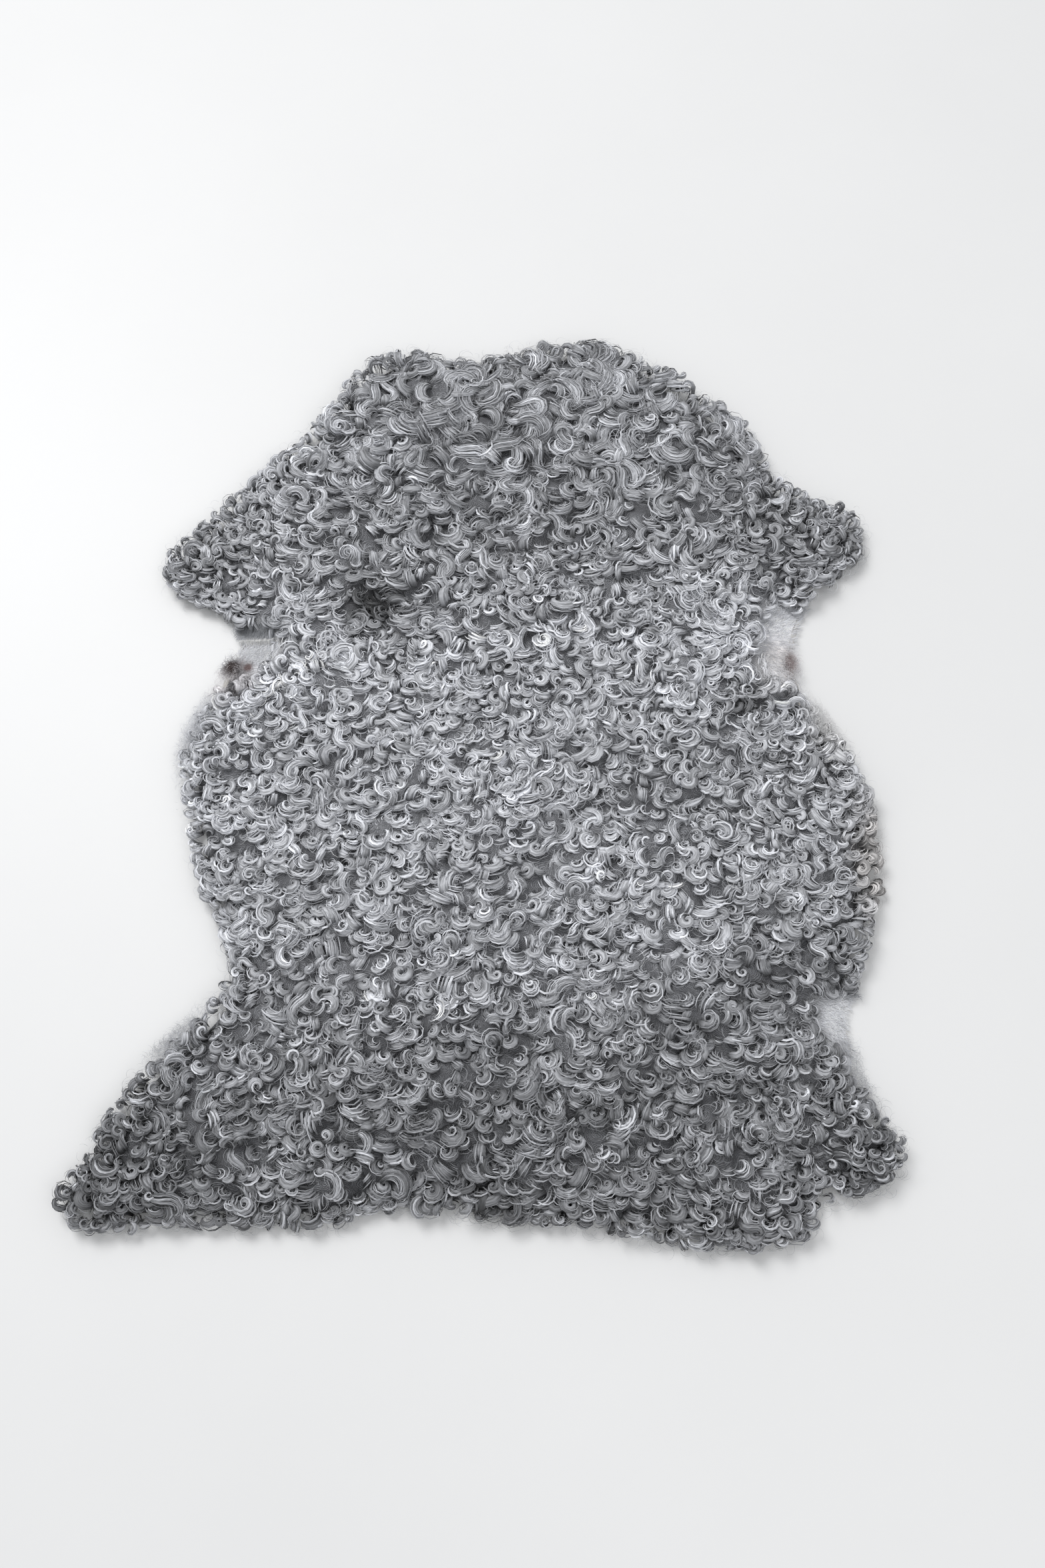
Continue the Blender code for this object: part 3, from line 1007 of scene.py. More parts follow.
def mottle() -> bpy.types.NodeTree:
    """Builds the group that clouds a surface's colour and gives it a fine grain.

    Returns:
        The group.
    """
    group = new_group(
        "Mottle",
        (("Light", "NodeSocketColor", (0.8, 0.8, 0.8, 1.0)),
         ("Dark", "NodeSocketColor", (0.5, 0.5, 0.5, 1.0)), ("Cloud size", "NodeSocketFloat", 30.0),
         ("Grain size", "NodeSocketFloat", 900.0)),
        (("Colour", "NodeSocketColor"), ("Height", "NodeSocketFloat")))
    w = Wiring(group)
    given = w.node("NodeGroupInput").outputs
    place = w.add("ShaderNodeTexCoord").outputs["Object"]
    cloud = w.add("ShaderNodeTexNoise", {"Vector": place, "Scale": given["Cloud size"],
                                         "Detail": 4.0, "Roughness": 0.6}).outputs[0]
    grain = w.add("ShaderNodeTexNoise", {"Vector": place, "Scale": given["Grain size"],
                                         "Detail": 3.0, "Roughness": 0.7}).outputs[0]
    share = w.add("ShaderNodeMapRange", {0: cloud, 1: 0.35, 2: 0.65}).outputs[0]
    both = w.maths("ADD", w.maths("MULTIPLY", share, CLOUD_SHARE), w.maths("MULTIPLY", grain, GRAIN_SHARE))
    mixed = w.add("ShaderNodeMix", {0: both, 6: given["Dark"], 7: given["Light"]},
                  data_type="RGBA").outputs[2]
    out = w.node("NodeGroupOutput")
    group.links.new(mixed, out.inputs["Colour"])
    group.links.new(grain, out.inputs["Height"])
    return group


@dataclass(frozen=True)
class WoolFinish:
    """Lustrous curled wool, coloured wisp by wisp, with the single hairs drawn on each."""

    name: str
    lines: bpy.types.NodeTree
    roughness: Span = (0.48, 0.66)
    sheen: float = 0.25
    sheen_roughness: float = 0.4
    relief: float = 0.0004
    contrast: float = 1.35

    def material(self) -> bpy.types.Material:
        """Builds the material.

        Returns:
            The material.
        """
        made = bpy.data.materials.new(self.name)
        made.use_nodes = True
        w = Wiring(made.node_tree)
        shader = w.node("ShaderNodeBsdfPrincipled")
        colour = w.add("ShaderNodeVertexColor", layer_name="Wool").outputs[0]
        hairs = w.add("ShaderNodeGroup", node_tree=self.lines)
        w.tree.links.new(colour, hairs.inputs["Colour"])
        hairs.inputs["Contrast"].default_value = self.contrast
        rough = w.add("ShaderNodeMapRange", {0: hairs.outputs["Gloss"], 3: self.roughness[1],
                                             4: self.roughness[0]}).outputs[0]
        bumped = w.add("ShaderNodeBump", {"Height": hairs.outputs["Height"], "Strength": 0.6,
                                          "Distance": self.relief}).outputs[0]
        w.tree.links.new(hairs.outputs["Colour"], shader.inputs["Base Color"])
        w.tree.links.new(rough, shader.inputs["Roughness"])
        w.tree.links.new(bumped, shader.inputs["Normal"])
        shader.inputs["Sheen Weight"].default_value = self.sheen
        shader.inputs["Sheen Roughness"].default_value = self.sheen_roughness
        return made


@dataclass(frozen=True)
class ClothFinish:
    """A mottled, matt surface: the suede side of the hide, or the floor."""

    name: str
    clouds: bpy.types.NodeTree
    light: Triple
    dark: Triple
    cloud_size: float
    grain_size: float
    roughness: float
    relief: float

    def material(self) -> bpy.types.Material:
        """Builds the material.

        Returns:
            The material.
        """
        made = bpy.data.materials.new(self.name)
        made.use_nodes = True
        w = Wiring(made.node_tree)
        shader = w.node("ShaderNodeBsdfPrincipled")
        cloud = w.add("ShaderNodeGroup", node_tree=self.clouds)
        cloud.inputs["Light"].default_value = (*self.light, 1.0)
        cloud.inputs["Dark"].default_value = (*self.dark, 1.0)
        cloud.inputs["Cloud size"].default_value = self.cloud_size
        cloud.inputs["Grain size"].default_value = self.grain_size
        bumped = w.add("ShaderNodeBump", {"Height": cloud.outputs["Height"], "Strength": 0.5,
                                          "Distance": self.relief}).outputs[0]
        w.tree.links.new(cloud.outputs["Colour"], shader.inputs["Base Color"])
        w.tree.links.new(bumped, shader.inputs["Normal"])
        shader.inputs["Roughness"].default_value = self.roughness
        return made


def curled_ground() -> bpy.types.NodeTree:
    """Builds the group that draws curls on the underwool: spirals of hair, side by side, with painted
    shadow darkening each towards its edge.

    Returns:
        The group.
    """
    group = new_group(
        "Curled ground",
        (("Light", "NodeSocketColor", (0.3, 0.3, 0.3, 1.0)),
         ("Dark", "NodeSocketColor", (0.05, 0.05, 0.05, 1.0)), ("Curls", "NodeSocketFloat", 52.0),
         ("Turns", "NodeSocketFloat", 11.0), ("Stray", "NodeSocketFloat", 0.8)),
        (("Colour", "NodeSocketColor"), ("Height", "NodeSocketFloat")))
    w = Wiring(group)
    given = w.node("NodeGroupInput").outputs
    place = w.add("ShaderNodeTexCoord").outputs["Object"]
    sized = w.add("ShaderNodeVectorMath", {0: place, "Scale": given["Curls"]}, operation="SCALE").outputs[0]
    noise = w.add("ShaderNodeTexNoise", {"Vector": sized, "Scale": 0.9, "Detail": 3.0}).outputs["Color"]
    push = w.add("ShaderNodeVectorMath", {0: noise, "Scale": given["Stray"]}, operation="SCALE").outputs[0]
    bent = w.add("ShaderNodeVectorMath", {0: sized, 1: push}, operation="ADD").outputs[0]
    flat = w.add("ShaderNodeVectorMath", {0: bent, 1: (1.0, 1.0, 0.0)}, operation="MULTIPLY").outputs[0]
    cells = w.add("ShaderNodeTexVoronoi", {"Vector": flat, "Scale": 1.0}, voronoi_dimensions="2D")
    arm = w.add("ShaderNodeVectorMath", {0: flat, 1: cells.outputs["Position"]},
                operation="SUBTRACT").outputs[0]
    parts = w.add("ShaderNodeSeparateXYZ", {0: arm}).outputs
    angle = w.maths("DIVIDE", w.maths("ARCTAN2", parts[1], parts[0]), 2 * math.pi)
    rings = w.maths("MULTIPLY", cells.outputs["Distance"], given["Turns"])
    wave = w.maths("SINE", w.maths("MULTIPLY", w.maths("ADD", rings, angle), 2 * math.pi))
    rough = w.add("ShaderNodeTexNoise", {"Vector": flat, "Scale": 13.0, "Detail": 2.0}).outputs[0]
    uneven = w.maths("MULTIPLY", w.maths("SUBTRACT", rough, 0.5), 4.0)
    lines = w.add("ShaderNodeMapRange", {0: w.maths("ADD", wave, uneven), 1: -1.6, 2: 1.8}).outputs[0]
    # Painted shadow: each curl is darker towards its edge, where it meets the next.
    painted_lit_share = w.maths("SUBTRACT", 1.15, cells.outputs["Distance"])
    share = w.maths("MULTIPLY", lines, painted_lit_share)
    mixed = w.add("ShaderNodeMix", {0: share, 6: given["Dark"], 7: given["Light"]},
                  data_type="RGBA").outputs[2]
    out = w.node("NodeGroupOutput")
    group.links.new(mixed, out.inputs["Colour"])
    group.links.new(lines, out.inputs["Height"])
    return group


@dataclass(frozen=True)
class GroundFinish:
    """The dense underwool between the locks, dark partly in its own colour and partly as painted shade."""

    name: str
    curls: bpy.types.NodeTree
    light: Triple = (0.48, 0.49, 0.52)
    dark: Triple = (0.12, 0.12, 0.13)
    plain: Triple = (0.95, 0.95, 0.96)
    roughness: float = 0.7
    relief: float = 0.0016

    def material(self) -> bpy.types.Material:
        """Builds the material.

        Returns:
            The material.
        """
        made = bpy.data.materials.new(self.name)
        made.use_nodes = True
        w = Wiring(made.node_tree)
        shader = w.node("ShaderNodeBsdfPrincipled")
        ground = w.add("ShaderNodeGroup", node_tree=self.curls)
        painted = w.add("ShaderNodeVertexColor", layer_name="Wool").outputs
        # The painted layer's alpha says how woolly the place is. Clipped hair shows no curls.
        shown = w.add("ShaderNodeMix", {0: painted["Alpha"], 6: (*self.plain, 1.0),
                                        7: ground.outputs["Colour"]}, data_type="RGBA").outputs[2]
        colour = w.add("ShaderNodeVectorMath", {0: shown, 1: painted["Color"]},
                       operation="MULTIPLY").outputs[0]
        ground.inputs["Light"].default_value = (*self.light, 1.0)
        ground.inputs["Dark"].default_value = (*self.dark, 1.0)
        bumped = w.add("ShaderNodeBump", {"Height": ground.outputs["Height"], "Strength": 0.8,
                                          "Distance": self.relief}).outputs[0]
        w.tree.links.new(colour, shader.inputs["Base Color"])
        w.tree.links.new(bumped, shader.inputs["Normal"])
        shader.inputs["Roughness"].default_value = self.roughness
        return made


# --- The rug's layers -----------------------------------------------------------------------


SHARP_FROM = math.radians(50)  # the angle at which a sheet's faces meet in a sharp edge


def fill_ring(ring: Array, points: Array) -> Array:
    """Shares out a flat face into triangles.

    Args:
        ring: The face's outline, a row of (across, along) for each point.
        points: Points inside it that become corners too.

    Returns:
        A row of three for each triangle, counting the ring's points first.
    """
    flat = [Vector(point) for point in np.concatenate([ring[:, :2], points[:, :2]])]
    edges = [(i, (i + 1) % len(ring)) for i in range(len(ring))]
    _, _, faces, sources, _, _ = delaunay_2d_cdt(flat, edges, [], 1, 1e-7)
    return np.array([[sources[i][0] for i in face] for face in faces])


def closed_sheet(name: str, edge: Array, inner: Array, low: Array, high: Array) -> bpy.types.Object:
    """Makes a closed sheet: a top and an underside over the same triangles, and its edge.

    Args:
        name: The piece's name.
        edge: The outline, a row of (across, along) for each point.
        inner: Points inside it.
        low: Height of the underside at each point, the outline's first.
        high: Height of the top at each point.

    Returns:
        The new object.
    """
    faces = fill_ring(edge, inner)
    flat = np.concatenate([edge[:, :2], inner[:, :2]])
    corners = np.stack([flat[faces[:, k]] for k in range(3)], 1)
    first, second = corners[:, 1] - corners[:, 0], corners[:, 2] - corners[:, 0]
    turned = first[:, 0] * second[:, 1] - first[:, 1] * second[:, 0] < 0
    faces[turned] = faces[turned][:, ::-1]
    count, rim = len(flat), np.arange(len(edge))
    after = np.roll(rim, -1)
    wall = np.stack([rim, rim + count, after + count, after], -1)  # the edge runs clockwise
    points = np.concatenate([np.column_stack([flat, low]), np.column_stack([flat, high])])
    loops = np.concatenate([faces[:, ::-1].ravel(), (faces + count).ravel(), wall.ravel()])
    sizes = np.concatenate([np.full(2 * len(faces), 3), np.full(len(wall), 4)])
    mesh = bpy.data.meshes.new(name)
    fill_mesh(mesh, points, loops, sizes)
    mesh.set_sharp_from_angle(angle=SHARP_FROM)
    return add_piece(name, mesh)


@dataclass
class Hide:
    """The tanned hide: its suede side down, its knife-cut edge bare where the hair is clipped."""

    pelt: Pelt
    finish: ClothFinish
    edge_points: int = 700
    grid: float = 0.030
    waver: float = 0.0006  # how unevenly the knife has cut
    flat_size: Span = (0.767, 0.970)
    flat_area: float = 0.5747

    def build(self) -> Pieces:
        """Builds and dresses the hide.

        Returns:
            The hide, by itself in a list.
        """
        edge = along_loop(self.pelt.cut_edge, np.arange(self.edge_points) / self.edge_points)
        draw = np.random.default_rng(21)
        cut = np.convolve(np.tile(draw.normal(0, 1, self.edge_points), 3), np.ones(5) / 5, "same")
        edge = inset(edge, self.waver * np.abs(cut[self.edge_points:2 * self.edge_points]))
        inner = grid_inside(edge, self.grid, self.grid / 3)
        count = len(edge) + len(inner)
        edge[:, :2] += self.pelt.shift
        inner = inner + self.pelt.shift
        piece = closed_sheet("hide_skin", edge, inner, np.zeros(count),
                             np.full(count, self.pelt.hide_thick))
        piece.data.materials.append(self.finish.material())
        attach(piece, "root")
        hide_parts("hide")
        return [piece]


@dataclass
class Underwool:
    """The dense dark wool between the roots of the locks."""

    pelt: Pelt
    finish: GroundFinish
    grid: float = 0.0105
    patch_grid: float = 0.0045
    patch_from: float = 0.15  # how short the hair is where the closer grid starts
    grid_clear: float = 0.6  # how far a grid stays from the edge, against its spacing
    grid_jitter: float = 0.2
    edge_inset: float = 0.0025
    edge_height: float = 0.0009
    lumps: float = 0.0022
    lump_spacing: float = 0.013
    edge_points: int = 700
    pleat_rows: tuple[float, ...] = (-0.0032, -0.0014, 0.0, 0.0014, 0.0032)
    pleat_step: float = 0.003

    def build(self) -> Pieces:
        """Builds and dresses the underwool.

        Returns:
            The underwool, by itself in a list.
        """
        pelt = self.pelt
        edge = along_loop(pelt.slab, np.arange(self.edge_points) / self.edge_points)
        edge = inset(edge, np.full(len(edge), self.edge_inset))
        inner, close = (grid_inside(edge, grid, grid * self.grid_clear, grid * self.grid_jitter)
                        for grid in (self.grid, self.patch_grid))
        inner = inner[pelt.clipped(*inner.T) <= self.patch_from]
        close = close[pelt.clipped(*close.T) > self.patch_from]
        inner = np.concatenate([inner, close, self._pleat_points(edge)])
        flat = np.concatenate([edge[:, :2], inner])
        x, y = flat.T
        floor = pelt.hide_thick + pelt.touch_gap
        lump = Chart.of_noise(self.lump_spacing, 31).at(x, y) * self.lumps
        lump *= smoothstep(0.0, pelt.under_slope, distance_to(edge, x, y)) * (1.0 - pelt.clipped(x, y))
        high = np.maximum(pelt.ground(x, y) + lump, floor + self.edge_height)
        high[:len(edge)] = floor + self.edge_height
        share = pelt.colour(x, y) / np.array(pelt.grey)
        edge[:, :2] += pelt.shift
        piece = closed_sheet("underwool", edge, inner + pelt.shift, np.full(len(x), floor), high)
        paint_mesh(piece.data, np.tile(share, (2, 1)), np.tile(1.0 - pelt.clipped(x, y), 2))
        piece.data.materials.append(self.finish.material())
        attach(piece, "root")
        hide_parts("fleece")
        return [piece]

    def _pleat_points(self, edge: Array) -> Array:
        """Lays closer points along the pleat, so that its ridge is sharp.

        Args:
            edge: The underwool's edge.

        Returns:
            The points, a row of (across, along) for each.
        """
        (ax, ay), (bx, by), _, _ = PLEAT
        count = round((bx - ax) / self.pleat_step)
        share = np.linspace(0.0, 1.0, count)
        line = np.column_stack([ax + share * (bx - ax), ay + share * (by - ay)])
        rows = np.concatenate([line + (0.0, row) for row in self.pleat_rows])
        return rows[is_inside(edge, *rows.T) & (distance_to(edge, *rows.T) > self.pleat_step)]


@dataclass
class Locks:
    """All the curled locks: where each stands, how it winds, and the wisps that it is made of."""

    pelt: Pelt
    finish: WoolFinish
    wisps_per_lock: float = 8.3  # on a lock of the pelt's usual spacing
    broad_share: float = 0.48  # of the wisps, which cover their lock side by side
    core_width: float = 1.66  # of the core, against the lock's half width
    puff: Triple = (0.86, 1.04, 1.12)  # how far out core, broad and fine lie
    broad_width: float = 0.0020
    fine_width: float = 0.0008
    wrap: float = 98.0  # how far round its lock the outer wisps lie, in degrees from the top
    loose_share: float = 0.40  # of the wisps, which stand off their lock
    stray: float = 0.0004
    stray_pace: Span = (3.0, 7.0)  # radians along a wisp
    stray_spread: Span = (0.3, 1.5)
    slack: float = 0.13  # how unevenly the wisps of a lock wind, as a share of its radius
    packing: float = 2.5  # locks for each square of their spacing
    evenings: int = 14  # how often the locks are moved apart
    fullness: float = 1.24  # how large a lock is, against its spacing
    rim_step: float = 0.62  # spacing of the rim's locks, against the spacing inside
    rim_stagger: Span = (0.82, 1.18)  # how deep every other lock of the rim stands
    rim_jitter: Span = (0.9, 1.1)
    rim_woolly: float = 0.45  # how woolly the rim is where its locks begin
    rim_size: float = 0.80  # of the rim's locks, against the others
    rim_inset: float = 0.62
    rim_reach: float = 0.56  # how far a lock may spread towards the rim, in shares of its size
    least_size: float = 0.0125
    least_room: float = 0.8  # of the least size, below which no lock grows
    size_spread: Triple = (0.18, -0.28, 0.5)  # as powers, with its limits
    bare_from: float = 0.42  # how bare a place is where the locks end
    most_clipped: float = 0.70  # how short the hair may be where locks still grow
    patch_shrink: float = 0.30
    candidates: int = 60000
    tail_lean: float = 1.0  # how strongly the locks lean to the tail
    rim_lean: float = 2.0  # how strongly the rim's locks lean outward
    rim_zone: Span = (0.012, 0.045)  # from the rim, over which that lean fades
    lean_spread: float = 0.9
    lift: float = 0.0005  # of the locks' crowns over the fleece's top
    lift_spread: float = 0.0026
    clouds: Span = (0.070, 0.12)  # size and strength of lighter and darker places
    unevenness: float = 0.10  # of the colour from lock to lock
    dark_unevenness: float = 1.6  # how much stronger it is in the darkest wool
    neck: tuple[float, float, float, float] = (0.02, 0.40, 0.20, 0.11)  # where the waves grow
    waves: Span = (0.05, 0.50)  # share of the locks on the body, more at the neck
    rosettes: Span = (0.10, 0.40)  # share at the neck, and more on the body
    rolls: Span = (0.16, 0.06)  # share on the body, and less at the neck
    rim_kinds: Triple = (0.0, 0.22, 0.28)  # shares at the rim, in that order
    least_wisps: int = 6
    rank_spread: float = 0.06
    station_jitter: float = 0.48
    puff_spread: float = 0.05
    loose_puff: Span = (0.1, 0.6)  # how much farther out the loose wisps lie
    winding: Triple = (0.25, 0.04, 0.06)  # spread of a lock's way, turns and size
    begin_spread: Span = (22, 12)  # in degrees, of the locks and of their wisps
    fall_spread: Span = (-0.4, 1.3)
    fall_from: float = 0.45
    root_full: Span = (0.45, 0.22)  # how full a lock is at its root, and where it is full
    tip_slim: Span = (0.55, 0.80)  # how much slimmer its tip is, and from where
    width_spread: Span = (0.70, 1.30)
    wisp_root: Span = (0.45, 0.25)  # a wisp's width at its root, and where it is full
    wisp_tip: Span = (0.80, 0.60)  # how much narrower its tip is, and from where
    floor: Span = (0.0012, 0.002)  # the lowest line over the floor, and how that varies
    wave: Wave = Wave()
    root_sink: float = 0.011
    # A wisp is darker at its root, partly the wool's own darker roots and partly painted shade between the
    # locks, and darker the deeper it lies under the fleece's top, as painted shade.
    root_shade: float = 0.33
    root_reach: float = 0.36  # how far along a wisp its root's shadow reaches
    low_painted_shade: float = 0.42
    low_depth: float = 0.014  # under the fleece's top, where a wisp is in full shadow
    shade_limits: Span = (0.25, 1.1)
    # Painted shade on the flanks of each lock, leaving its crown lighter.
    flank_painted_shade: float = 0.30  # how much darker a lock's flanks are than its crown
    wisp_contrast: Triple = (0.07, 0.24, 0.24)  # of core, broad and fine wisps
    lightest: float = 1.12  # of any place on a lock, against its wool
    # The painted shade deepens further in the darker wool.
    dark_contrast: float = 1.6  # how much the darker wool's shadows deepen
    dark_limit: float = 0.6  # how dark the wool is where they deepen no more
    dark_variety: float = 0.9  # how much less alike the wisps of dark wool are
    unlike: Span = (-0.5, 0.17)  # how much darker or lighter than its lock a wisp may be
    # Painted shade and light: the core, under the other wisps, is darker, and the wisps over it are
    # lighter.
    grade_painted_shading: Triple = (0.75, 1.05, 1.10)
    piece_limit: int = 7000  # wisps in a piece

    def build(self) -> Pieces:
        """Builds and dresses the locks, one or more pieces for each kind.

        Returns:
            The pieces.
        """
        bed = self._lay_bed()
        pieces = []
        for kind in Lock:
            chosen = bed.only(bed.kind == kind.value)
            draw = np.random.default_rng(KIND_SEED + list(Lock).index(kind))
            wisps = self._wave(chosen, draw) if kind is Lock.WAVE else self._wind(chosen, kind, draw)
            parts = math.ceil(len(wisps.paths) / self.piece_limit)
            order = np.argsort(wisps.paths[:, 0, 0], kind="stable")
            for number, part in enumerate(np.array_split(order, parts), 1):
                some = wisps.only(part)
                is_core = some.grade == Grade.CORE
                lots = [(some.only(is_core), 3), (some.only(~is_core), 2)]
                pieces.append(wisp_mesh(f"{kind.value}_{number}", lots))
        material = self.finish.material()
        for piece in pieces:
            piece.data.materials.append(material)
            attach(piece, "root")
        return pieces

    def _lay_bed(self) -> LockBed:
        """Sets out the locks: a row along the rim, then the rest evenly over the wool.

        Returns:
            The locks.
        """
        pelt, draw = self.pelt, np.random.default_rng(3)
        rim_x, rim_y = self._rim_places(draw)
        x, y = self._spread(np.column_stack([rim_x, rim_y]), draw).T
        at_rim = np.arange(len(x)) < len(rim_x)
        out = pelt.downhill(x, y)
        pull = self.rim_lean * (1.0 - smoothstep(*self.rim_zone, pelt.depth.at(x, y)))[:, None]
        lean = out * pull + np.array([0.0, -self.tail_lean]) + draw.normal(0, self.lean_spread, (len(x), 2))
        spread, least, most = self.size_spread
        power = np.clip(draw.normal(0, spread, len(x)), least, most)
        size = pelt.spacing(x, y) * self.fullness * np.exp(power)
        size *= np.where(at_rim, self.rim_size, 1.0)
        size *= 1.0 - self.patch_shrink * pelt.clipped(x, y)
        room = (pelt.depth.at(x, y) + pelt.reach(x, y)) / self.rim_reach
        size = np.clip(size, self.least_size, np.maximum(room, self.least_size))
        kind = self._choose_kinds(x, y, at_rim, draw)
        lift = draw.normal(0.0, self.lift_spread, len(x)) + self.lift
        shade, (cloud_size, cloud_strength) = pelt.shade(x, y), self.clouds
        uneven = 1.0 + cloud_strength * Chart.of_noise(cloud_size, 41).at(x, y)
        stronger = 1.0 + self.dark_unevenness * (1.0 - np.clip(shade, 1.0 - self.dark_limit, 1.0))
        uneven *= np.exp(draw.normal(0.0, self.unevenness, len(x)) * stronger)
        colour = pelt.colour(x, y) * uneven[:, None]
        bed = LockBed(x, y, size, np.arctan2(lean[:, 1], lean[:, 0]), lift, shade, colour, kind)
        roomy = room > self.least_room * self.least_size
        return bed.only((pelt.bareness(x, y) < self.bare_from) & roomy)

    def _spread(self, rim: Array, draw: Chance) -> Array:
        """Spreads the locks evenly over the wool, closer together where they are small.

        Args:
            rim: Places that are already taken, along the rim.
            draw: Where chance comes from.

        Returns:
            The taken places and then the new ones, a row of (across, along) for each.
        """
        pelt = self.pelt
        half_width, half_length = pelt.wool_half
        near = draw.uniform(-1, 1, (self.candidates, 2)) * pelt.wool_half
        spacing = pelt.spacing(*near.T)
        keep = (pelt.depth.at(*near.T) > 0) & (pelt.clipped(*near.T) < self.most_clipped)
        cover = keep.mean() * 4 * half_width * half_length
        count = int(cover * (spacing[keep] ** -2).mean() * self.packing) - len(rim)
        keep &= draw.uniform(0, 1, len(near)) < (spacing.min() / spacing) ** 2
        near = near[keep]
        places = np.vstack([rim, near[:count]])
        for _ in range(self.evenings):
            tree = KDTree(len(places))
            for number, place in enumerate(places):
                tree.insert((*place, 0.0), number)
            tree.balance()
            nearest = np.array([tree.find((*place, 0.0))[1] for place in near])
            held = np.maximum(np.bincount(nearest, minlength=len(places)), 1)[:, None]
            sums = [np.bincount(nearest, column, len(places)) for column in near.T]
            middle = np.column_stack(sums) / held
            moves = np.arange(len(places)) >= len(rim)
            moves &= np.bincount(nearest, minlength=len(places)) > 0
            places[moves] = middle[moves]
        return places

    def _rim_places(self, draw: Chance) -> tuple[Array, Array]:
        """Finds places for the row of locks along the rim, where it is woolly.

        Args:
            draw: Where chance comes from.

        Returns:
            The places across, and those along.
        """
        pelt = self.pelt
        count = int(loop_length(pelt.rim) / (pelt.lock_spacing * self.rim_step))
        row = along_loop(pelt.rim, np.arange(count) / count)
        size = pelt.spacing(row[:, 0], row[:, 1])
        stagger = np.where(np.arange(count) % 2, *self.rim_stagger)
        depths = size * self.rim_inset * stagger * draw.uniform(*self.rim_jitter, count)
        row = inset(row, depths - pelt.reach(row[:, 0], row[:, 1]))
        row = row[row[:, 2] > self.rim_woolly]
        return row[:, 0], row[:, 1]

    def _choose_kinds(self, x: Array, y: Array, at_rim: Array, draw: Chance) -> Array:
        """Chooses each lock's kind: waves mostly at the neck, rolls and crescents mostly at the rim.

        Args:
            x: The locks' places across the rug.
            y: Their places along it.
            at_rim: True for the rim's locks.
            draw: Where chance comes from.

        Returns:
            The name of each lock's kind.
        """
        neck = bump(x, y, *self.neck)
        wave = self.waves[0] + self.waves[1] * neck
        rosette = self.rosettes[1] * (1 - neck) + self.rosettes[0]
        roll = self.rolls[0] - self.rolls[1] * neck
        wave, rosette, roll = (np.where(at_rim, rim, inner)
                               for rim, inner in zip(self.rim_kinds, (wave, rosette, roll)))
        pick = draw.uniform(0, 1, len(x))
        return np.select(
            [pick < wave, pick < wave + rosette, pick < wave + rosette + roll],
            [Lock.WAVE.value, Lock.ROSETTE.value, Lock.ROLL.value], Lock.CRESCENT.value)

    def _share_out(self, bed: LockBed, draw: Chance) -> tuple[Array, Array, Array]:
        """Gives each lock its wisps, by its area.

        Args:
            bed: The locks.
            draw: Where chance comes from.

        Returns:
            The lock of each wisp, its place round its lock from -1 to 1, and its grade.
        """
        counts = self.wisps_per_lock * (bed.size / self.fullness / self.pelt.lock_spacing) ** 2
        counts = np.floor(counts + draw.uniform(0, 1, len(counts)))
        counts = np.maximum(counts, self.least_wisps).astype(int)
        lock = np.repeat(np.arange(len(counts)), counts)
        number = np.arange(len(lock)) - np.concatenate([[0], np.cumsum(counts)[:-1]])[lock]
        broad_count = np.round(self.broad_share * counts)[lock]
        even = 2 * (number - 0.5) / broad_count - 1 + draw.normal(0, self.rank_spread, len(lock))
        grade = np.select([number == 0, number <= broad_count], [Grade.CORE, Grade.BROAD], Grade.FINE)
        rank = np.select([grade == Grade.CORE, grade == Grade.BROAD],
                         [0.0, np.clip(even, -1, 1)], draw.uniform(-1, 1, len(lock)))
        return lock, rank, grade

    def _shares(self, count: int, stations: int, draw: Chance) -> Array:
        """Sets out the stations of each wisp, no two wisps quite alike.

        Args:
            count: How many wisps there are.
            stations: How many stations each has.
            draw: Where chance comes from.

        Returns:
            How far along its wisp each station lies, from 0 to 1.
        """
        jitter = draw.uniform(-self.station_jitter, self.station_jitter, (count, 1))
        step = np.arange(stations)[None] + jitter
        step[:, 0], step[:, -1] = 0, stations - 1
        return step / (stations - 1)

    def _bundle(self, rank: Array, grade: Array, half_width: Array, half_height: Array, side: Array,
                over: Array, draw: Chance) -> tuple[Array, Array]:
        """Spreads wisps over the rounded top of their locks.

        Args:
            rank: Each wisp's place round its lock, from -1 to 1.
            grade: Each wisp's grade.
            half_width: The lock's half width along it.
            half_height: Its half height along it.
            side: Unit vectors across the lock.
            over: Unit vectors out of its top.
            draw: Where chance comes from.

        Returns:
            How far each wisp lies from its lock's middle line, and which way its face looks.
        """
        turn = (math.radians(self.wrap) * rank)[:, None, None]
        loose = (grade == Grade.FINE) & (draw.uniform(0, 1, len(rank)) < self.loose_share)
        puff = draw.normal(np.array(self.puff)[grade], self.puff_spread)
        puff = puff + loose * draw.uniform(*self.loose_puff, len(rank))
        wide, high = (half[..., None] * puff[:, None, None] for half in (half_width, half_height))
        off = np.sin(turn) * wide * side + np.cos(turn) * high * over
        return off, np.sin(turn) * high * side + np.cos(turn) * wide * over

    def _wind(self, bed: LockBed, kind: Lock, draw: Chance) -> Wisps:
        """Winds the wisps of rosettes, crescents or rolls.

        Args:
            bed: The locks, all of one kind.
            kind: Their kind.
            draw: Where chance comes from.

        Returns:
            The wisps.
        """
        curl, count = CURLS[kind], len(bed.x)
        lock, rank, grade = self._share_out(bed, draw)
        share = self._shares(len(lock), curl.stations, draw)

        def each(values: Array) -> Array:
            """Each wisp's value, from the values of the locks."""
            return values[lock][:, None]

        way_spread, turn_spread, size_spread = self.winding
        hand = each(draw.choice([-1.0, 1.0], count))
        lean = each(np.radians(draw.uniform(*curl.lean, count)))
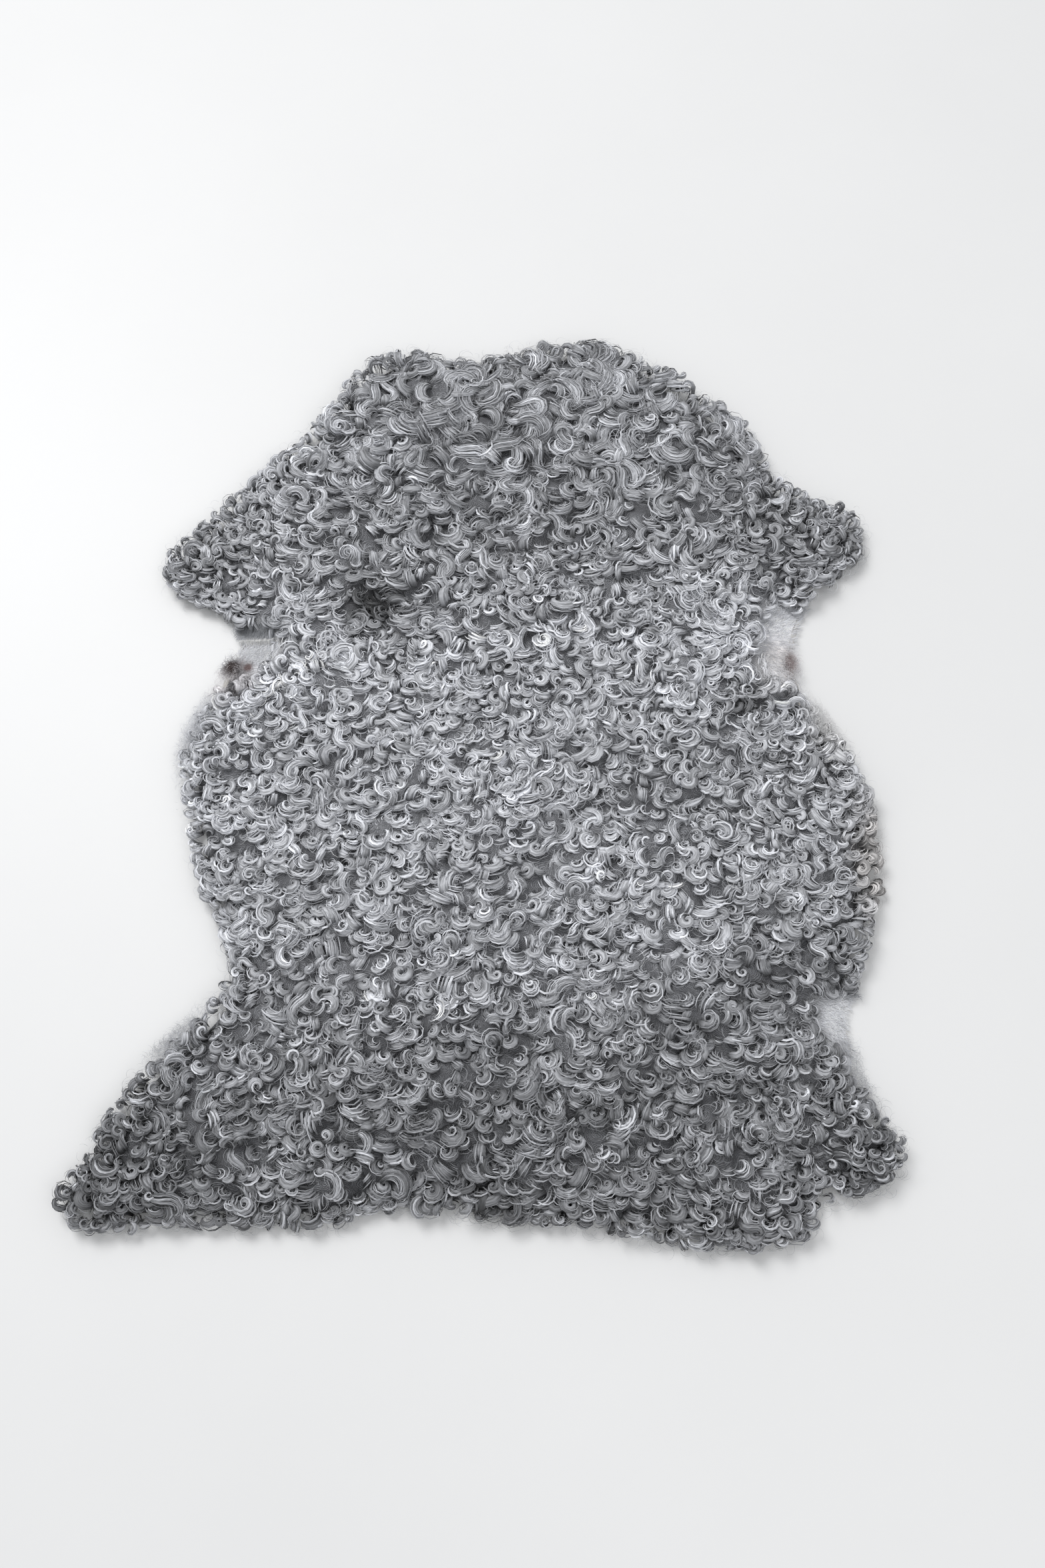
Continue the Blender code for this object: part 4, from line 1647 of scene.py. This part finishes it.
        # The winding's high side is the side that the lock leans to.
        away = each(bed.growth + draw.normal(0, way_spread, count)) + math.pi
        away = away + math.radians(curl.sideways) * hand
        axis = np.stack([np.sin(lean) * np.cos(away), np.sin(lean) * np.sin(away), np.cos(lean)], -1)
        down = np.stack([np.cos(lean) * np.cos(away), np.cos(lean) * np.sin(away), -np.sin(lean)], -1)
        turns = each(draw.uniform(*curl.turns, count)) + draw.normal(0, turn_spread, (len(lock), 1))
        begin = each(draw.normal(0, self.begin_spread[0], count))
        begin = begin + draw.normal(curl.start, self.begin_spread[1], (len(lock), 1))
        angle = (np.radians(begin) + 2 * math.pi * turns * share) * hand
        ring = np.cos(angle)[..., None] * down + np.sin(angle)[..., None] * np.cross(axis, down)
        tilt = lean[..., None]
        side = np.cos(tilt) * ring - np.sin(tilt) * axis
        over = np.sin(tilt) * ring + np.cos(tilt) * axis
        size = each(bed.size * draw.normal(1.0, size_spread, count))
        (root, root_end), (slim, slim_from) = self.root_full, self.tip_slim
        swell = root + (1 - root) * smoothstep(0.0, root_end, share)
        swell = swell * (1 - slim * smoothstep(slim_from, 1.0, share))
        half_width = size * (curl.half_width[0] + np.diff(curl.half_width)[0] * share) * swell
        half_height = size * curl.half_height * swell
        off, faces = self._bundle(rank, grade, half_width, half_height, side, over, draw)
        radius = size * (curl.radius[0] + np.diff(curl.radius)[0] * share**0.9)
        radius *= draw.normal(1.0, self.slack, (len(lock), 1))
        travel = curl.drift * (share - 0.5) * each(draw.choice([-1.0, 1.0], count))
        fall = curl.hollow * each(draw.uniform(*self.fall_spread, count))
        fall = fall * smoothstep(self.fall_from, 1.0, share)
        paths = radius[..., None] * ring + ((travel - fall) * size)[..., None] * axis + off
        paths += np.stack([each(bed.x), each(bed.y), np.zeros((len(lock), 1))], -1)
        paths[..., 2] -= self.root_sink * (1.0 - smoothstep(0.0, root_end, share))
        stray = self._wander(share, draw)
        paths += stray + draw.normal(0, self.slack / 2, (len(lock), 1, 3)) * size[..., None]
        rise = (paths[..., 2] - self.pelt.top.at(paths[..., 0], paths[..., 1])).max(1)
        crest = np.bincount(lock, rise, count) / np.bincount(lock, minlength=count)
        paths[..., 2] -= each(crest - bed.lift)
        return self._dress(paths, faces, share, half_width, bed, lock, rank, grade, draw)

    def _wave(self, bed: LockBed, draw: Chance) -> Wisps:
        """Lays the wisps of waves: long nested bends that run down the fleece and end in a hook.

        Args:
            bed: The locks.
            draw: Where chance comes from.

        Returns:
            The wisps.
        """
        wave, count = self.wave, len(bed.x)
        lock, rank, grade = self._share_out(bed, draw)
        fine = np.linspace(0.0, 1.0, wave.fine_steps * wave.stations)[None]
        share = self._shares(len(lock), wave.stations, draw)

        def each(values: Array) -> Array:
            """Each wisp's value, from the values of the locks."""
            return values[lock][:, None]

        hand = each(draw.choice([-1.0, 1.0], count))
        snake = each((draw.uniform(0, 1, count) < wave.snakes).astype(float))
        bend = each(np.radians(draw.uniform(*wave.bend, count)))
        bend = bend * (smoothstep(*wave.bend_span, fine) - 0.5)
        swing = each(np.radians(draw.uniform(*wave.swing, count)))
        offset = each(draw.uniform(-wave.offset, wave.offset, count))
        sway = swing * np.cos(2 * math.pi * (wave.swings * fine + offset))
        hook = np.radians(wave.hook) * smoothstep(wave.hook_from, 1.0, fine)
        heading = each(bed.growth) + hand * ((1 - snake) * bend + snake * sway + hook)
        step = each(bed.size * draw.uniform(*wave.length, count)) / (fine.shape[1] - 1)
        x, y = np.cumsum(np.cos(heading) * step, 1), np.cumsum(np.sin(heading) * step, 1)
        picked = (share * (fine.shape[1] - 1)).round().astype(int)
        x, y, heading = (np.take_along_axis(v, picked, 1) for v in (x, y, heading))
        x += each(bed.x) - x.mean(1, keepdims=True)
        y += each(bed.y) - y.mean(1, keepdims=True)
        side = np.stack([-np.sin(heading), np.cos(heading), np.zeros_like(x)], -1)
        over = np.broadcast_to([0.0, 0.0, 1.0], side.shape)
        start, span, power = wave.swell
        swell = np.sin(np.pi * np.clip(start + span * share, 0, 1)) ** power
        size = each(bed.size)
        half_width, half_height = wave.half_width * size * swell, wave.half_height * size * swell
        off, faces = self._bundle(rank, grade, half_width, half_height, side, over, draw)
        z = self.pelt.top.at(x, y) + each(bed.lift) - wave.half_height * size
        z -= (self.root_sink * (1.0 - smoothstep(0.0, self.root_full[1], share))
              + wave.tip_fall * smoothstep(wave.tip_from, 1.0, share))
        paths = np.stack([x, y, z], -1) + off + self._wander(share, draw)
        return self._dress(paths, faces, share, half_width, bed, lock, rank, grade, draw)

    def _wander(self, share: Array, draw: Chance) -> Array:
        """Draws small smooth strays of each wisp from its own line.

        Args:
            share: How far along each wisp its stations lie.
            draw: Where chance comes from.

        Returns:
            How far each station strays.
        """
        phase = draw.uniform(0, 2 * math.pi, (len(share), 1, 3))
        pace = draw.uniform(*self.stray_pace, (len(share), 1, 3))
        swing = self.stray * draw.uniform(*self.stray_spread, (len(share), 1, 1))
        return swing * np.sin(pace * share[..., None] + phase)

    def _dress(self, paths: Array, faces: Array, share: Array, half_width: Array, bed: LockBed,
               lock: Array, rank: Array, grade: Array, draw: Chance) -> Wisps:
        """Gives laid wisps their widths and colours, with painted shade, and keeps them off the floor.

        Args:
            paths: The wisps' lines.
            faces: Which way their faces look.
            share: How far along each wisp its stations lie.
            half_width: The half width of each wisp's lock, along it.
            bed: The locks.
            lock: The lock of each wisp.
            rank: Each wisp's place round its lock, from -1 to 1.
            grade: Each wisp's grade.
            draw: Where chance comes from.

        Returns:
            The finished wisps.
        """
        count = len(lock)
        width = np.where(grade == Grade.BROAD, self.broad_width, self.fine_width)[:, None]
        width = width * draw.uniform(*self.width_spread, (count, 1))
        (root, root_end), (slim, slim_from) = self.wisp_root, self.wisp_tip
        widths = width * (root + (1.0 - root) * smoothstep(0.0, root_end, share))
        widths = widths * (1.0 - slim * smoothstep(slim_from, 1.0, share))
        widths = np.where((grade == Grade.CORE)[:, None], self.core_width * half_width, widths)
        floor = self.floor[0] + draw.uniform(0, self.floor[1], (count, 1))
        paths[..., 2] = np.maximum(paths[..., 2], floor)
        # Painted shade: darker at the root, deep under the fleece's top and on the lock's flanks.
        top = self.pelt.top.at(paths[..., 0], paths[..., 1])
        painted_lit_share = smoothstep(-self.low_depth, 0.000, paths[..., 2] - top)
        shade = np.clip(bed.shade[lock], *self.shade_limits)[:, None]
        root, low = self.root_shade * shade, self.low_painted_shade * shade
        tone = root + (1 - root) * smoothstep(0.0, self.root_reach, share)
        tone = tone * (low + (1 - low) * painted_lit_share) * (1 - self.flank_painted_shade * rank[:, None] ** 2)
        unlike = draw.normal(0, 1, count) * np.array(self.wisp_contrast)[grade]
        unlike = np.clip(unlike * (1.0 + self.dark_variety - self.dark_variety * shade[:, 0]), *self.unlike)
        tone = np.minimum(tone * (np.array(self.grade_painted_shading)[grade] * np.exp(unlike))[:, None],
                          self.lightest / np.sqrt(np.maximum(shade, 1.0)))
        tone = tone ** (1.0 + self.dark_contrast * np.clip(1.0 - shade, 0.0, self.dark_limit))
        colours = tone[..., None] * bed.colour[lock][:, None]
        places = paths.copy()
        places[..., :2] += self.pelt.shift
        return Wisps(places, faces, widths, np.clip(colours, *COLOUR_LIMITS), grade)


def blades(paths: Array, width: Array, colours: Array, root: float) -> Wisps:
    """Makes single hairs as narrow blades that face up, thickest at the root and darker there with painted
    shade.

    Args:
        paths: The hairs' lines.
        width: How wide each is.
        colours: Each hair's colours along it, or the one that it has all along.
        root: How light they are at the root, against the tip.

    Returns:
        The hairs.
    """
    share = np.linspace(0.0, 1.0, paths.shape[1])
    widths = width[:, None] * (1.0 - BLADE_TAPER * share)
    ups = np.broadcast_to([0.0, 0.0, 1.0], paths.shape)
    # Painted shade at each hair's root.
    tone = (root + (1.0 - root) * smoothstep(0.0, BLADE_ROOT, share))[None, :, None]
    return Wisps(paths, ups, widths, np.clip(tone * colours, *COLOUR_LIMITS),
                 np.full(len(paths), Grade.FINE))


@dataclass
class ShortHair:
    """The clipped hair: short straight blades, combed one way in each patch."""

    pelt: Pelt
    finish: WoolFinish
    count: int = 6400
    length: Span = (0.0050, 0.0120)
    width: Span = (0.00045, 0.0009)
    stations: int = 4
    rise: Span = (0.0006, 0.0022)
    root: float = 0.96  # how light the hair is at the root, against its tip
    speckle: float = 0.50  # how much darker than the patch the darkest hairs are
    streak: float = 0.0046  # from one comb mark to the next
    streak_sway: Span = (0.024, 1.6)  # length of a mark's bends, and how far they swing
    speckle_from: float = 0.3  # of that, at the least
    least_clipped: float = 0.22
    least_depth: float = 0.0028  # from the rim
    tries: int = 6  # places drawn for each hair, as many lie outside
    spread: float = 1.7  # half widths of a patch that they are drawn over
    stray: float = 0.22  # radians off the comb
    bend: float = 0.30
    rise_power: float = 0.7
    over_ground: float = 0.0001
    tuft: Span = (0.6, 1.7)  # length and rise of the tufts' hairs, against the rest

    def build(self) -> Pieces:
        """Builds and dresses the short hair.

        Returns:
            The short hair, by itself in a list.
        """
        pelt, draw = self.pelt, np.random.default_rng(51)
        patch = draw.integers(0, len(CLIPPED_PATCHES), self.count * self.tries)
        table = np.array([row[1:5] for row in CLIPPED_PATCHES])[patch]
        x, y = (table[:, i] + table[:, i + 2] * draw.uniform(-self.spread, self.spread, len(patch))
                for i in (0, 1))
        held = (pelt.depth.at(x, y) > self.least_depth) & (pelt.clipped(x, y) > self.least_clipped)
        x, y = x[held][:self.count], y[held][:self.count]
        tufts = np.concatenate([draw.normal(row[1:3], row[3:5], (row[5], 2)) for row in TUFTS])
        combed = np.arange(len(x) + len(tufts)) < len(x)
        x, y = np.concatenate([np.stack([x, y], 1), tufts]).T
        count = len(x)
        share = np.linspace(0.0, 1.0, self.stations)[None]
        angle = pelt.comb(x, y) + draw.normal(0, self.stray, count)
        angle = np.where(combed, angle, draw.uniform(-math.pi, math.pi, count))[:, None]
        bend = draw.normal(0, self.bend, (count, 1))
        shorter, higher = (np.where(combed, 1.0, tuft)[:, None] for tuft in self.tuft)
        reach = draw.uniform(*self.length, (count, 1)) * shorter * share
        px = x[:, None] + reach * np.cos(angle + bend * share)
        py = y[:, None] + reach * np.sin(angle + bend * share)
        pz = pelt.ground(px.ravel(), py.ravel()).reshape(px.shape) + self.over_ground
        pz = pz + draw.uniform(*self.rise, (count, 1)) * higher * share**self.rise_power
        paths = np.stack([px + pelt.shift[0], py + pelt.shift[1], pz], -1)
        colours = pelt.colour(px.ravel(), py.ravel()).reshape(*px.shape, 3)
        darker = self.speckle * self._comb_marks(x, y) * draw.uniform(self.speckle_from, 1, count)
        colours = colours * (1.0 - darker)[:, None, None]
        hairs = blades(paths, draw.uniform(*self.width, count), colours, self.root)
        piece = wisp_mesh("short_hair", [(hairs, 2)])
        piece.data.materials.append(self.finish.material())
        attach(piece, "root")
        return [piece]

    def _comb_marks(self, x: Array, y: Array) -> Array:
        """Draws the marks of the comb over the clipped patches.

        Args:
            x: Places across the rug.
            y: Places along it.

        Returns:
            How deep in a mark each place lies, from 0 to 1.
        """
        way = self.pelt.comb(x, y)
        along = x * np.cos(way) + y * np.sin(way)
        across = y * np.cos(way) - x * np.sin(way)
        length, swing = self.streak_sway
        bends = swing * np.sin(math.tau * along / length)
        return (0.5 + 0.5 * np.sin(math.tau * across / self.streak + bends)) ** 2


@dataclass
class LooseHairs:
    """Hairs that stand off the locks: arcs over the fleece and its rim, and fuzz at some stretches."""

    pelt: Pelt
    finish: WoolFinish
    over_count: int = 2400
    rim_count: int = 2200
    fuzz_count: int = 7500
    width: Span = (0.00026, 0.00046)
    fuzz_width: Span = (0.00016, 0.00030)
    radius: Span = (0.004, 0.011)
    turn: Span = (80.0, 200.0)
    fuzz_turn: Span = (40.0, 120.0)
    stations: int = 8
    fuzz_stations: int = 4
    rise: Span = (-0.002, 0.003)  # in the middle of an arc
    root: float = 0.72  # how light a hair is at the root, against its tip
    unevenness: float = 0.2
    light: Triple = (1.15, 1.25, 1.1)  # of over, rim and fuzz, against the wool
    size: Triple = (1.0, 0.66, 0.65)  # of their arcs
    over_depth: float = 0.012  # from the rim, at the least
    over_clipped: float = 0.3
    over_height: Span = (-0.001, 0.0035)  # from the fleece's top
    rim_depth: Span = (0.003, 0.014)
    rim_height: Span = (0.003, 0.021)
    rim_low: float = 0.2  # of that height, where the rim is clipped
    rim_fan: float = 0.9  # how far their ways spread, in radians
    fuzz_depth: Span = (-0.002, 0.018)
    fuzz_height: Span = (0.0015, 0.012)
    fuzz_slope: float = 0.6  # how much higher the fuzz starts, for each metre inside the rim
    fuzz_fan: float = 0.8
    fuzz_fade: float = 1.5  # as a power
    fuzz_tries: int = 14  # places drawn for each hair, as many lie outside

    def build(self) -> Pieces:
        """Builds and dresses the loose hairs.

        Returns:
            The hairs that show one by one, and the fuzz.
        """
        draw = np.random.default_rng(61)
        lots = {"loose_hairs": [self._over(draw), self._beyond(draw)], "fuzz": [self._fuzz(draw)]}
        pieces = [wisp_mesh(name, [(hairs, 2) for hairs in lot]) for name, lot in lots.items()]
        material = self.finish.material()
        for piece in pieces:
            piece.data.materials.append(material)
            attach(piece, "root")
        return pieces

    def _arcs(self, x: Array, y: Array, z: Array, angle: Array, stations: int,
              turning: Span, size: float, draw: Chance) -> Array:
        """Bends hairs into arcs.

        Args:
            x: Where each hair starts, across.
            y: Where it starts, along.
            z: How high it starts.
            angle: The way that it sets off.
            stations: How many points it has.
            turning: How far it may turn, in degrees.
            size: How large its arc is, against the usual radius.
            draw: Where chance comes from.

        Returns:
            The hairs' lines.
        """
        count = len(x)
        share = np.linspace(0.0, 1.0, stations)[None]
        turn = np.radians(draw.uniform(*turning, (count, 1))) * draw.choice([-1, 1], (count, 1))
        radius = draw.uniform(*self.radius, (count, 1)) * size
        heading = angle[:, None] + turn * share
        step = radius * np.abs(turn) / (stations - 1)
        px = x[:, None] + np.cumsum(np.cos(heading) * step, 1)
        py = y[:, None] + np.cumsum(np.sin(heading) * step, 1)
        rise = draw.uniform(*self.rise, (count, 1)) * np.sin(np.pi * share)
        return np.stack([px, py, z[:, None] + rise], -1)

    def _finished(self, paths: Array, width: Span, light: float,
                  draw: Chance) -> Wisps:
        """Gives hairs their widths and the colour of the wool that they stand over.

        Args:
            paths: The hairs' lines.
            width: How narrow and how wide they may be.
            light: How light they are, against the wool.
            draw: Where chance comes from.

        Returns:
            The finished hairs.
        """
        count = len(paths)
        uneven = np.exp(draw.normal(0, self.unevenness, (count, 1)))
        colours = self.pelt.colour(*paths[:, 0, :2].T) * uneven * light
        paths = paths + (*self.pelt.shift, 0.0)
        return blades(paths, draw.uniform(*width, count), colours[:, None], self.root)

    def _over(self, draw: Chance) -> Wisps:
        """Lays hairs that cross from lock to lock over the fleece.

        Args:
            draw: Where chance comes from.

        Returns:
            The hairs.
        """
        pelt = self.pelt
        x, y = draw.uniform(-1, 1, (2, 2 * self.over_count)) * np.array(pelt.wool_half)[:, None]
        held = (pelt.depth.at(x, y) > self.over_depth) & (pelt.clipped(x, y) < self.over_clipped)
        x, y = x[held][:self.over_count], y[held][:self.over_count]
        z = pelt.top.at(x, y) + draw.uniform(*self.over_height, len(x))
        angle = draw.uniform(-math.pi, math.pi, len(x))
        paths = self._arcs(x, y, z, angle, self.stations, self.turn, self.size[0], draw)
        return self._finished(paths, self.width, self.light[0], draw)

    def _rim_starts(self, count: int, depth: Span,
                    draw: Chance) -> tuple[Array, Array, Array, Array]:
        """Draws places just inside the rim.

        Args:
            count: How many.
            depth: How far inside it they may be.
            draw: Where chance comes from.

        Returns:
            The places across and along, the way out from each, and how woolly the rim is there.
        """
        row = along_loop(self.pelt.rim, draw.uniform(0, 1, count))
        way = self.pelt.downhill(row[:, 0], row[:, 1])
        start = row[:, :2] - way * draw.uniform(*depth, count)[:, None]
        return start[:, 0], start[:, 1], np.arctan2(way[:, 1], way[:, 0]), row[:, 2]

    def _beyond(self, draw: Chance) -> Wisps:
        """Lays hairs that stand out beyond the rim's locks.

        Args:
            draw: Where chance comes from.

        Returns:
            The hairs.
        """
        x, y, out, woolly = self._rim_starts(self.rim_count, self.rim_depth, draw)
        z = draw.uniform(*self.rim_height, len(x)) * (self.rim_low + (1 - self.rim_low) * woolly)
        angle = out + draw.normal(0, self.rim_fan, len(x))
        paths = self._arcs(x, y, z, angle, self.stations, self.turn, self.size[1], draw)
        return self._finished(paths, self.fuzz_width, self.light[1], draw)

    def _fuzz(self, draw: Chance) -> Wisps:
        """Lays fine fuzz that fades out over the floor.

        Args:
            draw: Where chance comes from.

        Returns:
            The hairs.
        """
        x, y, out, _ = self._rim_starts(self.fuzz_count * self.fuzz_tries, self.fuzz_depth, draw)
        soft = np.zeros_like(x)
        for _, across, along, width, length in FUZZ:
            soft = np.maximum(soft, bump(x, y, across, along, width, length))
        held = draw.uniform(0, 1, len(x)) < soft**self.fuzz_fade
        x, y, out = (values[held][:self.fuzz_count] for values in (x, y, out))
        z = draw.uniform(*self.fuzz_height, len(x))
        z = z + self.fuzz_slope * np.maximum(self.pelt.depth.at(x, y), 0.0)
        angle = out + draw.normal(0, self.fuzz_fan, len(x))
        paths = self._arcs(x, y, z, angle, self.fuzz_stations, self.fuzz_turn, self.size[2], draw)
        return self._finished(paths, self.fuzz_width, self.light[2], draw)


@dataclass
class Studio:
    """A pale floor, soft light from the upper left, and the camera over the rug's tail end."""

    pelt: Pelt
    floor: ClothFinish
    lens: float = 35.0
    sensor: float = 36.0
    camera_height: float = 1.4885
    camera_at: Span = (0.031, -0.588)
    tilt: float = 20.35  # of the camera from straight down, in degrees
    floor_size: float = 9.0
    lamps: tuple = (("window", (-2.1, 2.4, 4.5), 2.6, 158.0), ("fill", (1.2, -1.6, 2.6), 2.0, 14.0))
    sky: tuple[float, float, float, float] = (0.97, 0.985, 1.0, 1.0)
    sky_strength: float = 0.53

    def build(self) -> Pieces:
        """Builds the floor, the lamps and the camera.

        Returns:
            The floor, by itself in a list.
        """
        half = self.floor_size / 2
        mesh = bpy.data.meshes.new("floor")
        mesh.from_pydata([(-half, -half, 0), (half, -half, 0), (half, half, 0), (-half, half, 0)],
                         [], [(0, 1, 2, 3)])
        floor = add_piece("floor", mesh)
        floor.data.materials.append(self.floor.material())
        for lamp in self.lamps:
            self._lamp(*lamp)
        world = bpy.data.worlds.new("studio")
        world.use_nodes = True
        world.node_tree.nodes["Background"].inputs[0].default_value = self.sky
        world.node_tree.nodes["Background"].inputs[1].default_value = self.sky_strength
        bpy.context.scene.world = world
        bpy.context.scene.view_settings.view_transform = "Standard"
        self._camera()
        return [floor]

    def _lamp(self, name: str, place: Triple, size: float, power: float) -> None:
        """Adds a square soft lamp that faces the rug.

        Args:
            name: Its name.
            place: Where it stands.
            size: How wide it is.
            power: Its power in watts.
        """
        light = bpy.data.lights.new(name, "AREA")
        light.size, light.energy = size, power
        lamp = bpy.data.objects.new(name, light)
        lamp.location = place
        lamp.rotation_euler = (-Vector(place)).to_track_quat("-Z", "Y").to_euler()
        bpy.context.scene.collection.objects.link(lamp)

    def _camera(self) -> None:
        """Adds the camera, at the angle from which the rug is seen."""
        data = bpy.data.cameras.new("camera")
        data.lens, data.sensor_width, data.sensor_fit = self.lens, self.sensor, "AUTO"
        camera = bpy.data.objects.new("camera", data)
        x, y = np.array(self.camera_at) + self.pelt.shift
        camera.location = (x, y, self.camera_height)
        camera.rotation_euler = (math.radians(self.tilt), 0.0, 0.0)
        bpy.context.scene.collection.objects.link(camera)
        bpy.context.scene.camera = camera


def main() -> None:
    """Builds the rug and its studio, and reports each piece."""
    pelt = Pelt()
    lines, clouds = hair_lines(), mottle()
    suede = ClothFinish("suede", clouds, (0.70, 0.67, 0.62), (0.56, 0.53, 0.49), 22, 700, 0.9, 0.0004)
    dense = GroundFinish("underwool", curled_ground())
    pale = ClothFinish("pale floor", clouds, (0.86, 0.86, 0.86), (0.83, 0.83, 0.83), 1.5, 60, 0.45, 0.0)
    wool = WoolFinish("grey wool", lines)
    layers = (Studio(pelt, pale), Hide(pelt, suede), Underwool(pelt, dense), Locks(pelt, wool),
              ShortHair(pelt, WoolFinish("short hair", lines, sheen=0.9, contrast=0.3)),
              LooseHairs(pelt, WoolFinish("loose hair", lines, contrast=0.3)))
    for layer in layers:
        for piece in layer.build():
            LOG.info("%s: %d faces", piece.name, len(piece.data.polygons))


if __name__ == "__main__":
    logging.basicConfig(level=logging.INFO, format="%(name)s: %(message)s")
    main()
